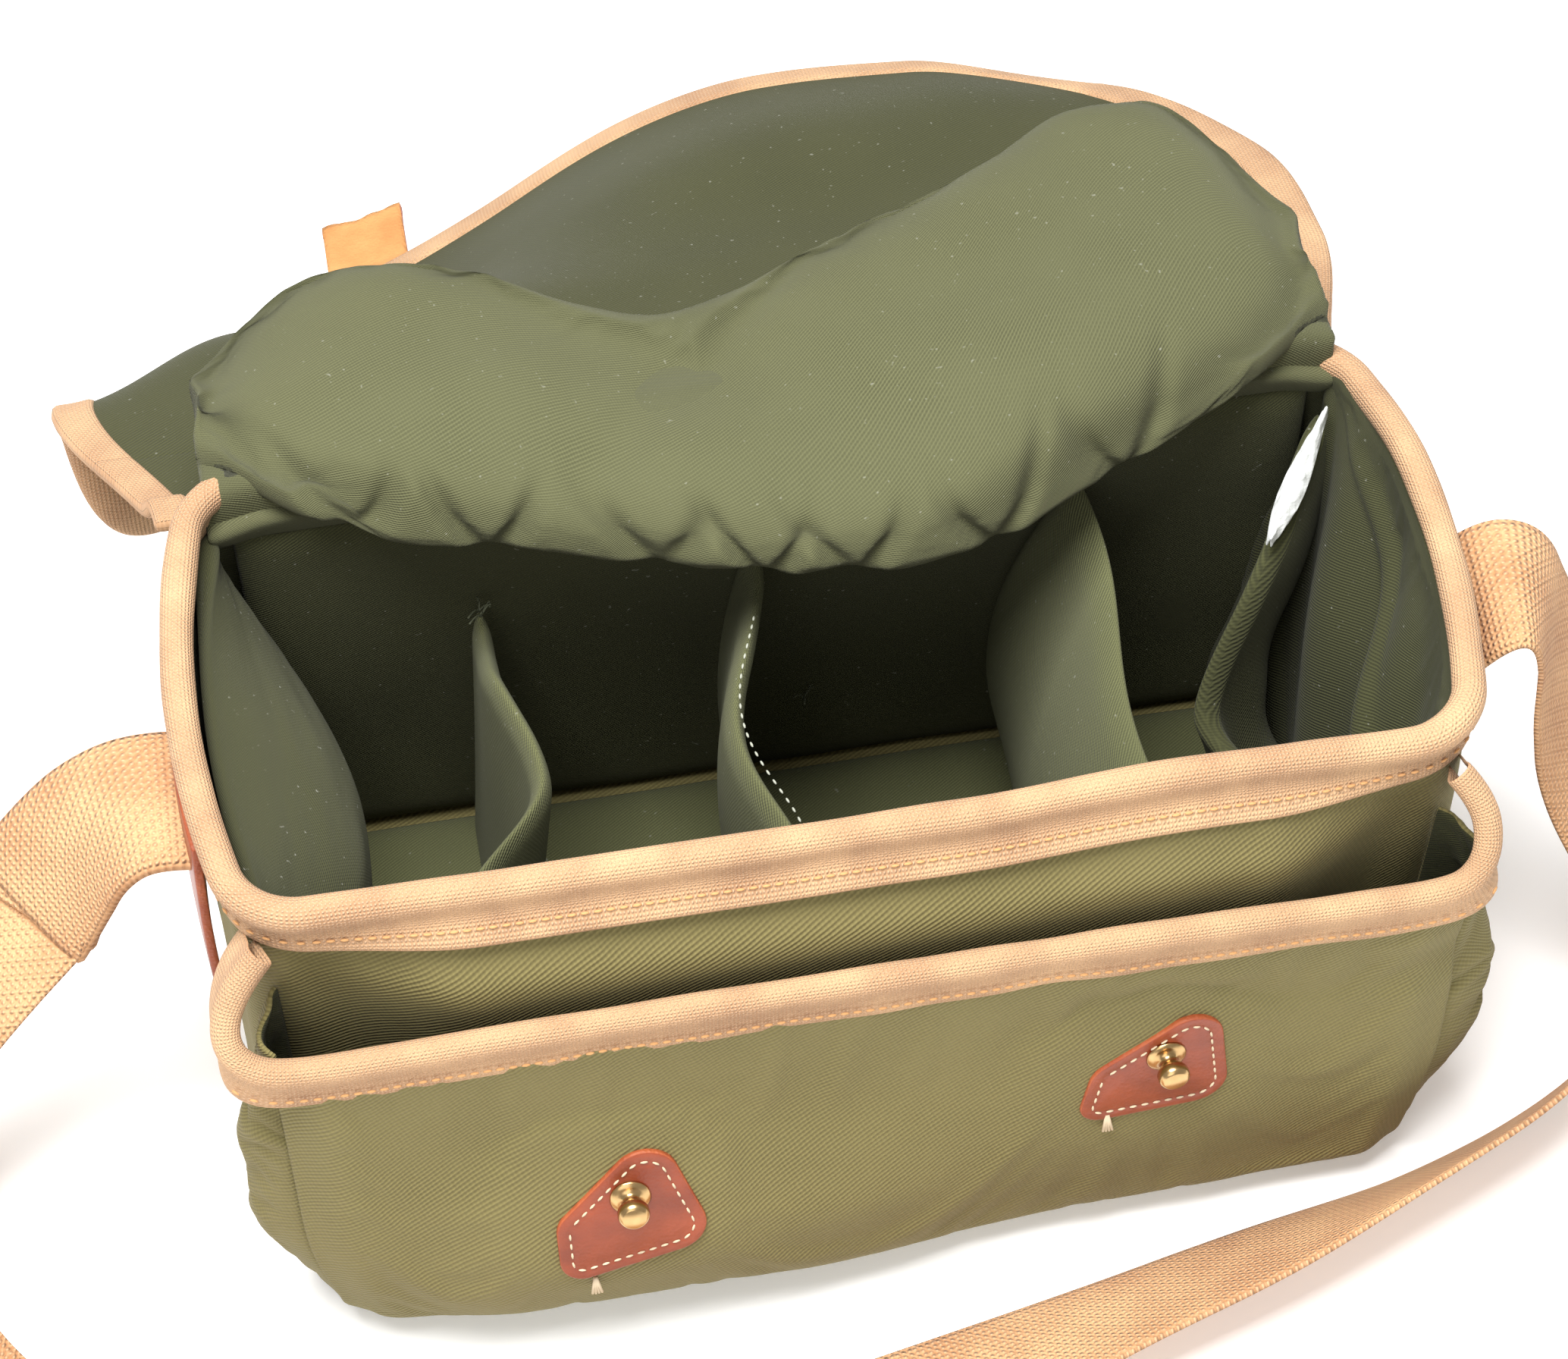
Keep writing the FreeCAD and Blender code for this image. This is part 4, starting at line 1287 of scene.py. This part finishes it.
flap = cloth_grid(132, 112, (2 * FLAP_HALF, FLAP_LONG), flap_place)
bmesh.ops.remove_doubles(flap, verts=flap.verts, dist=0.0004)
bmesh.ops.holes_fill(flap, edges=[e for e in flap.edges if e.is_boundary])
bmesh.ops.triangulate(flap, faces=[f for f in flap.faces if len(f.verts) > 4])
bmesh.ops.recalc_face_normals(flap, faces=flap.faces)
inner_flap = piece("inner_flap_cloth", flap, [flap_cloth])
settle(inner_flap, hold_flap, growth=0.045, cap=0.007, push=0.8, bend=0.4)
smoother = inner_flap.modifiers.new("smoother", "SUBSURF")
smoother.levels = 1
smoother.render_levels = 1
bake(inner_flap)
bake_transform(inner_flap)
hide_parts("inner_flap", "flap_roll", "flap_link")

# %% [markdown]
# ## Outer lid
# The lid hangs from a seam on the rear face. It falls back over the floor behind
# the bag, droops on its left and stands stiffer on its right. Its two front
# corners are round. The place function sums short steps along a slope that
# steepens towards the left, as a hanging cloth does.

# %% Lid shape
LID_HALF = 0.184
LID_LONG = 0.236
LID_START = Vector((0, 0.0875, 0.152))
LID_CORNER = 0.140
STEP = 0.004


def round_corners(x, s):
    """Turn the square rings of the two far corners into quarter circles."""
    cx = LID_HALF - LID_CORNER
    cs = LID_LONG - LID_CORNER
    if abs(x) <= cx or s <= cs:
        return x, s
    a = (abs(x) - cx) / LID_CORNER
    b = (s - cs) / LID_CORNER
    ring = max(a, b)
    turn = math.pi / 4 * (b / a) if a >= b else math.pi / 2 - math.pi / 4 * (a / b)
    return (math.copysign(cx + LID_CORNER * ring * math.cos(turn), x),
            cs + LID_CORNER * ring * math.sin(turn))


def lid_slope(x, s):
    """The lid's fall, in degrees below level."""
    left = ease((0.04 - x) / 0.155)
    sooner = 0.028 * ease((-x - 0.13) / 0.05)
    fold = bump(s + sooner, 0.138, 0.05)
    late = ease((s + sooner - 0.105) / 0.05)
    ridge = 0.150 + 0.10 * (x - 0.03)
    puff = -12 * bump(s, ridge, 0.035) + 14 * bump(s, ridge + 0.056, 0.042)
    far_right = 9 * ease((x - 0.085) / 0.06)
    far_left = 48 * ease((-x - 0.125) / 0.035)
    fall = 15.5 + 4.0 * late + far_right * late
    droop = left * (50 * fold + 6 * late)
    return fall + droop + far_left * late + puff * ease((x + 0.10) / 0.06)


def lid_place(x, s):
    """Walk down the slope from the hem; the lid also flares a little outwards."""
    at = LID_START.copy()
    walked = 0.0
    while walked < s:
        step = min(STEP, s - walked)
        fall = math.radians(lid_slope(x, walked + step / 2))
        at.y += step * math.cos(fall)
        at.z -= step * math.sin(fall)
        walked += step
    flare = 0.13 * ease(s / 0.08)
    at.x = x * (1 + flare) - 0.003 - 0.007 * ease(s / 0.08)
    at.z = max(at.z, 0.003)
    return at + Vector((0, 0, 0.0015 * ripple(x, s, 0, 0.05, 31.0)))


def hold_lid(co):
    """The lid is sewn along its hem."""
    return 0.05 if co.y > 0.1 else 1.0


lid_bm = cloth_grid(116, 76, (2 * LID_HALF, LID_LONG), lid_place, round_corners)
lid_cloth = piece("lid_cloth", lid_bm, [lining, canvas])
settle(lid_cloth, hold_lid, growth=0.03, cap=0.006, weight=0.4, bend=0.8)

# %% [markdown]
# The binding is the outermost band of the same cloth, copied after the cloth run
# and given more thickness, so it follows every crease. The lid crosses two
# joints, so it is cut in two, a near part and a far part, at a line that only the
# lid's own body moves.

# %% Cut the lid into its parts
LID_SPLIT = 0.045
BINDING = 0.0125


def edge_distance(x, s):
    """How far a flat point is from the lid's bound edge."""
    cx = LID_HALF - LID_CORNER
    cs = LID_LONG - LID_CORNER
    if abs(x) > cx and s > cs:
        return LID_CORNER - math.hypot(abs(x) - cx, s - cs)
    return min(LID_HALF - abs(x), LID_LONG - s)


def take(source, name, keep, looks):
    """Copy the faces of a piece whose flat middle passes the test keep(x, s)."""
    bm = bmesh.new()
    bm.from_mesh(source.data)
    cut = bm.verts.layers.float_vector[CUT]
    gone = []
    for f in bm.faces:
        flat = sum((v[cut] for v in f.verts), Vector()) / len(f.verts)
        if not keep(flat.x, flat.y):
            gone.append(f)
    bmesh.ops.delete(bm, geom=gone, context="FACES")
    return piece(name, bm, looks)


joints = frame["record"]["behaviour"]["joints"]
FOLD_AT = next(j for j in joints if j["name"] == "lid_fold")["pos_m"]
FOLD_HALF = 0.012
far_body = ("lid", "lid_front_edge", (0, FOLD_AT[1] - FOLD_HALF, FOLD_AT[2]),
            (0, FOLD_AT[1] + FOLD_HALF, FOLD_AT[2]))
near_body = ("bag", "lid", (0, 0.0872, 0.1525), (0, 0.0925, 0.15))
LID_CUT = (2 * LID_HALF, LID_LONG - LID_SPLIT)
FAR_AREA = LID_CUT[0] * LID_CUT[1] - 2 * (1 - math.pi / 4) * LID_CORNER ** 2
NEAR_CUT = (2 * LID_HALF, LID_SPLIT)
OVERLAP = 0.003
TOP_NODES = ["lid_top", "lid_top_lining", "lid_front", "lid_front_lining"]
TAPE_NODES = ["lid_binding_left", "lid_binding_right", "lid_front_binding_left",
              "lid_front_binding_right", "lid_front_binding"]
for name, keep, cut_size, cut_area, bodies, cad, tape_cad in (
        ("near", lambda x, s: s < LID_SPLIT + OVERLAP, NEAR_CUT, None, near_body, ["lid_back_edge"], []),
        ("far", lambda x, s: s >= LID_SPLIT, LID_CUT, FAR_AREA, far_body, TOP_NODES, TAPE_NODES)):
    cloth_part = take(lid_cloth, "lid_" + name + "_cloth", keep, [lining, canvas])
    thicken(cloth_part, 0.0032, -1.0, lining=1)
    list(bodies)
    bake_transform(cloth_part)
    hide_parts(*cad)
    band_part = take(lid_cloth, "lid_" + name + "_binding",
                     lambda x, s, keep=keep: keep(x, s) and edge_distance(x, s) < BINDING, [tape])
    thicken(band_part, 0.0056, -0.55)
    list(bodies)
    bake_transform(band_part)
    if tape_cad:
        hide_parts(*tape_cad)
bpy.data.objects.remove(lid_cloth)

# %% Lid hem
def hem_place(x, s):
    """The strip lies on the rear face and leans out at its foot, under the lid's edge."""
    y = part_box("lid_hem")[1][1] + 0.001 + 0.0065 * ease((0.024 - s) / 0.024)
    return Vector((x, y, 0.1525 + s))


hem = piece("lid_hem_strip", cloth_grid(90, 8, (0.346, 0.024), hem_place), [canvas])
thicken(hem, 0.002, 0.0)
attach(hem, "bag")
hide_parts("lid_hem")

# %% [markdown]
# ## Leather patches and the tab
# A patch of leather backs the webbing at each end of the bag. On the left the
# webbing is doubled into a tab, and the strap is sewn to it with a folded bar.

# %% Patches
# the wall's run from the middle of its back to an end, round the corner and along the end
BACK_RUN = 0.1535
CORNER_RUN = 0.0251
END_HALF = 0.0585


def patch_place(side):
    """A patch follows the end wall, 1.6 mm outside it."""
    low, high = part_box("strap_patch_left")

    def place(x, s):
        y = (low[1] + high[1]) / 2 + x
        walked = BACK_RUN + CORNER_RUN + (END_HALF - y)
        return wall_point(walked if side < 0 else LOOP - walked, low[2] + s, 0.0016)
    return place


for name, side in (("left", -1), ("right", 1)):
    low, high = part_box("strap_patch_" + name)
    bm = cloth_grid(20, 30, (high[1] - low[1], high[2] - low[2]), patch_place(side))
    if side < 0:
        bmesh.ops.reverse_faces(bm, faces=bm.faces)
    patch = piece("strap_patch_leather_" + name, bm, [tan_hide, tan_hide, tan_edge])
    wall = patch.modifiers.new("wall", "SOLIDIFY")
    wall.thickness = 0.0028
    wall.offset = 1.0
    wall.material_offset_rim = 2
    bevel = patch.modifiers.new("edge", "BEVEL")
    bevel.width = 0.0006
    bevel.segments = 2
    bake(patch)
    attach(patch, "bag")
    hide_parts("strap_patch_" + name)

# %% Tab
TAB_ROUTE = [(-0.1835, -0.010, 0.149), (-0.195, -0.0095, 0.152), (-0.210, -0.010, 0.147),
             (-0.225, -0.012, 0.131), (-0.237, -0.017, 0.116)]
tab_points = route_points(TAB_ROUTE, 10)
tab_across = [Vector(v) for v in ((0.03, -1, 0), (0.1, -1, 0), (0.25, -0.97, -0.03),
                                  (0.5, -0.85, 0), (0.7, -0.7, 0))]
tab_band = band(tab_points, lambda t: through(tab_across, t), 0.046, 0.0048, belly=0.001)
tab = piece("strap_tab_webbing", tab_band, [webbing], "bag", ["strap_tab_left"])
bar_across = tab_across[-1] * 0.023
bar_shift = Vector((0.0015, 0.0012, 0.0015))
bar_line = [tab_points[-1] + bar_across * t + bar_shift for t in (-1, -0.5, 0, 0.5, 1)]
bar_facing = [(tab_points[-1] - tab_points[-4]).normalized()] * 2
bar_band = band(bar_line, lambda t: through(bar_facing, t), 0.0085, 0.0072, cells=8)
piece("strap_tab_folded_end", bar_band, [webbing], "bag")

# %% [markdown]
# ## Closure straps
# Both straps are sewn below the lid's front edge. The left one has torn off, so
# only a stub with a ragged end sticks out, flesh side up. The right one is whole
# and lies folded below the lid.

# %% Closure straps
def lid_line(x, s, drop=0.0):
    """A point below the lid's surface, measured square to it."""
    at = lid_place(x, s)
    ahead = lid_place(x, s + 0.001) - at
    aside = lid_place(x + 0.001, s) - at
    return at - aside.cross(ahead).normalized() * drop


STUB_X = -0.090


def stub_place(x, s):
    """From below the lid's edge outwards; the end is ragged."""
    spot = s - 0.036
    at = lid_line(STUB_X + x, min(LID_LONG - 0.001, LID_LONG + spot), 0.0062)
    beyond = max(spot, 0.0)
    ahead = lid_line(STUB_X + x, LID_LONG, 0.0062) - lid_line(STUB_X + x, LID_LONG - 0.01, 0.0062)
    ragged = 0.004 * ripple(x, 0, 0, 0.006, 41.0) + 0.003 * ease(-x / 0.01) if s > 0.056 else 0.0
    return at + ahead.normalized() * (beyond * 1.2 + ragged) + Vector((0, 0, 0.35 * beyond))


stub_bm = cloth_grid(14, 30, (0.025, 0.060), stub_place)
stub = piece("closure_strap_torn", stub_bm, [flesh_hide, tan_hide, tan_edge])
wall = stub.modifiers.new("wall", "SOLIDIFY")
wall.thickness = 0.0026
wall.offset = -1.0
wall.material_offset = 1
wall.material_offset_rim = 2
bake(stub)
stub_edge = lid_place(STUB_X, LID_LONG - 0.001)
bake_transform(stub)
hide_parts("closure_strap_left", "closure_root_left")
WHOLE_X = 0.078
WHOLE_LONG = 0.080
settled_lid = bpy.data.objects["lid_far_cloth"]
lid_underside = BVHTree.FromObject(settled_lid, bpy.context.evaluated_depsgraph_get())


def below_lid(x, s, drop):
    """A point below the cloth as it lies after the cloth run."""
    at = lid_line(WHOLE_X + x, s, drop)
    hit = lid_underside.ray_cast(Vector((at.x, at.y, -0.05)), Vector((0, 0, 1)))[0]
    if hit:
        at.z = min(at.z, hit.z - drop + 0.003)
    return at


def whole_place(x, s):
    """Doubled back below the lid: a short root, a fold near the edge and the strap itself."""
    root = 0.022
    fold = 0.008
    turn_at = LID_LONG - 0.016
    if s < root:
        return below_lid(x, turn_at - root + s, 0.0050)
    if s < root + fold:
        turn = math.pi * (s - root) / fold
        return below_lid(x, turn_at + 0.0022 * math.sin(turn), 0.0072 - 0.0022 * math.cos(turn))
    return below_lid(x, turn_at - (s - root - fold), 0.0094)


whole_bm = cloth_grid(8, 90, (0.025, 0.030 + WHOLE_LONG), whole_place)
whole = piece("closure_strap_whole", whole_bm, [flesh_hide, tan_hide, tan_edge])
wall = whole.modifiers.new("wall", "SOLIDIFY")
wall.thickness = 0.0024
wall.offset = 0.0
wall.material_offset = 1
wall.material_offset_rim = 2
bake(whole)
fold_top = lid_line(WHOLE_X, LID_LONG - 0.02, 0.0064)
fold_low = lid_line(WHOLE_X, LID_LONG - 0.02, 0.0082)
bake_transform(whole)
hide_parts("closure_strap_right", "closure_root_right")

# %% [markdown]
# ## Small things
# Torn wadding, loose threads and a scrap of cloth tell how worn the bag is.
# Each is a thin tube along a few points or a crumpled sheet.

# %% Torn wadding
FOAM_FROM = Vector((0.1665, 0.0570, 0.1655))
FOAM_TO = Vector((0.1435, 0.0265, 0.1440))


def wadding_place(x, s):
    """A crumpled sliver that swells out of the torn seam and tapers at both ends."""
    t = s / 0.048
    along = FOAM_FROM.lerp(FOAM_TO, t)
    wide = 0.0008 + 0.0034 * math.sin(math.pi * min(t ** 1.3 * 1.02, 1))
    across = x / 0.014
    crumple = 0.0016 * ripple(x, s, 0, 0.004, 51.0)
    swell = 0.0035 * math.sin(math.pi * (across + 0.5)) + crumple
    return along + Vector((across * wide * 1.6, -across * wide * 0.8, swell))


foam = piece("torn_wadding", cloth_grid(16, 50, (0.014, 0.048), wadding_place), [white_foam])
thicken(foam, 0.0008, 0.0)
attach(foam, "bag")
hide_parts("torn_foam")

# %% Loose threads
def thread(name, route, look, body, radius=0.00045):
    """A round thread along a smooth route."""
    points = route_points(route, 6)
    bm = bmesh.new()
    bmesh.ops.create_grid(bm, x_segments=6, y_segments=len(points) - 1, size=1.0)
    for v in bm.verts:
        i = round((v.co.x + 1) * 3) % 6
        j = round((v.co.y + 1) / 2 * (len(points) - 1))
        heading = (points[min(j + 1, len(points) - 1)] - points[max(j - 1, 0)]).normalized()
        side = heading.orthogonal().normalized()
        other = heading.cross(side)
        angle = i * math.pi / 3
        v.co = points[j] + (side * math.cos(angle) + other * math.sin(angle)) * radius
    bmesh.ops.remove_doubles(bm, verts=bm.verts, dist=0.00001)
    bmesh.ops.holes_fill(bm, edges=[e for e in bm.edges if e.is_boundary])
    bmesh.ops.recalc_face_normals(bm, faces=bm.faces)
    return piece(name, bm, [look], body)


SEAM_FOOT = Vector((-0.1560, -0.1080, 0.0200))
LONG_END = ((0.002, -0.001, 0.020), (-0.002, -0.006, 0.014), (0.002, -0.008, 0.006), (0.0, -0.006, -0.004))
SHORT_END = ((0.000, -0.001, 0.016), (0.004, -0.006, 0.012), (0.003, -0.008, 0.004))
for name, route in (("long", LONG_END), ("short", SHORT_END)):
    thread("seam_thread_" + name, [SEAM_FOOT + Vector(v) for v in route], green_thread, "bag")


def scrap_place(x, s):
    """A strip of the body's coloured backing that shows at the burst seam."""
    t = s / 0.030
    fall = Vector((0.000 + 0.012 * t, -0.004 - 0.0015 * math.sin(math.pi * t), 0.008 - 0.018 * t))
    at = SEAM_FOOT + fall
    wide = x * (0.35 + 0.65 * math.sin(math.pi * min(1, t * 0.9 + 0.1)))
    return at + Vector((wide, -0.0008 * ripple(x, s, 0, 0.003, 61.0), 0.5 * wide))


scrap = piece("seam_scrap_strip", cloth_grid(6, 30, (0.0045, 0.030), scrap_place), [teal])
thicken(scrap, 0.0006, 0.0)
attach(scrap, "bag")

# %% Frayed corners
FRAYS = (("divider_1", dividers["divider_1"](0.97, 0.97)[0]),
         ("divider_1", dividers["divider_1"](0.93, 1.0)[0]),
         ("bag", Vector((0.006, 0.054, 0.058))))
for number, (body, spot) in enumerate(FRAYS):
    for strand in range(4):
        lean = Vector((0.003 * math.sin(2.1 * strand + number), 0.003 * math.cos(1.7 * strand),
                       0.001 + 0.0005 * strand))
        start = Vector(spot) - Vector((0, 0, 0.001))
        bend = start + lean * 0.6 + Vector((0.001, 0.002, 0.001))
        route = [start, bend, start + lean * 1.4]
        thread("frayed_%d_%d" % (number, strand), route, dark_thread, body, 0.0003)

# %% Divider seam
seam_place = dividers["divider_2"]
spots = []
for i in range(22):
    a = 0.66 - 0.029 * i
    here = seam_place(a, 1.0)[0] + Vector((0.001, 0, 0.0006))
    there = seam_place(a - 0.01, 1.0)[0] + Vector((0.001, 0, 0.0006))
    spots.append((here, (there - here).normalized()))
sew("divider_2_stitches", spots, pale_thread, "divider_2", long=0.0022, thick=0.0004)
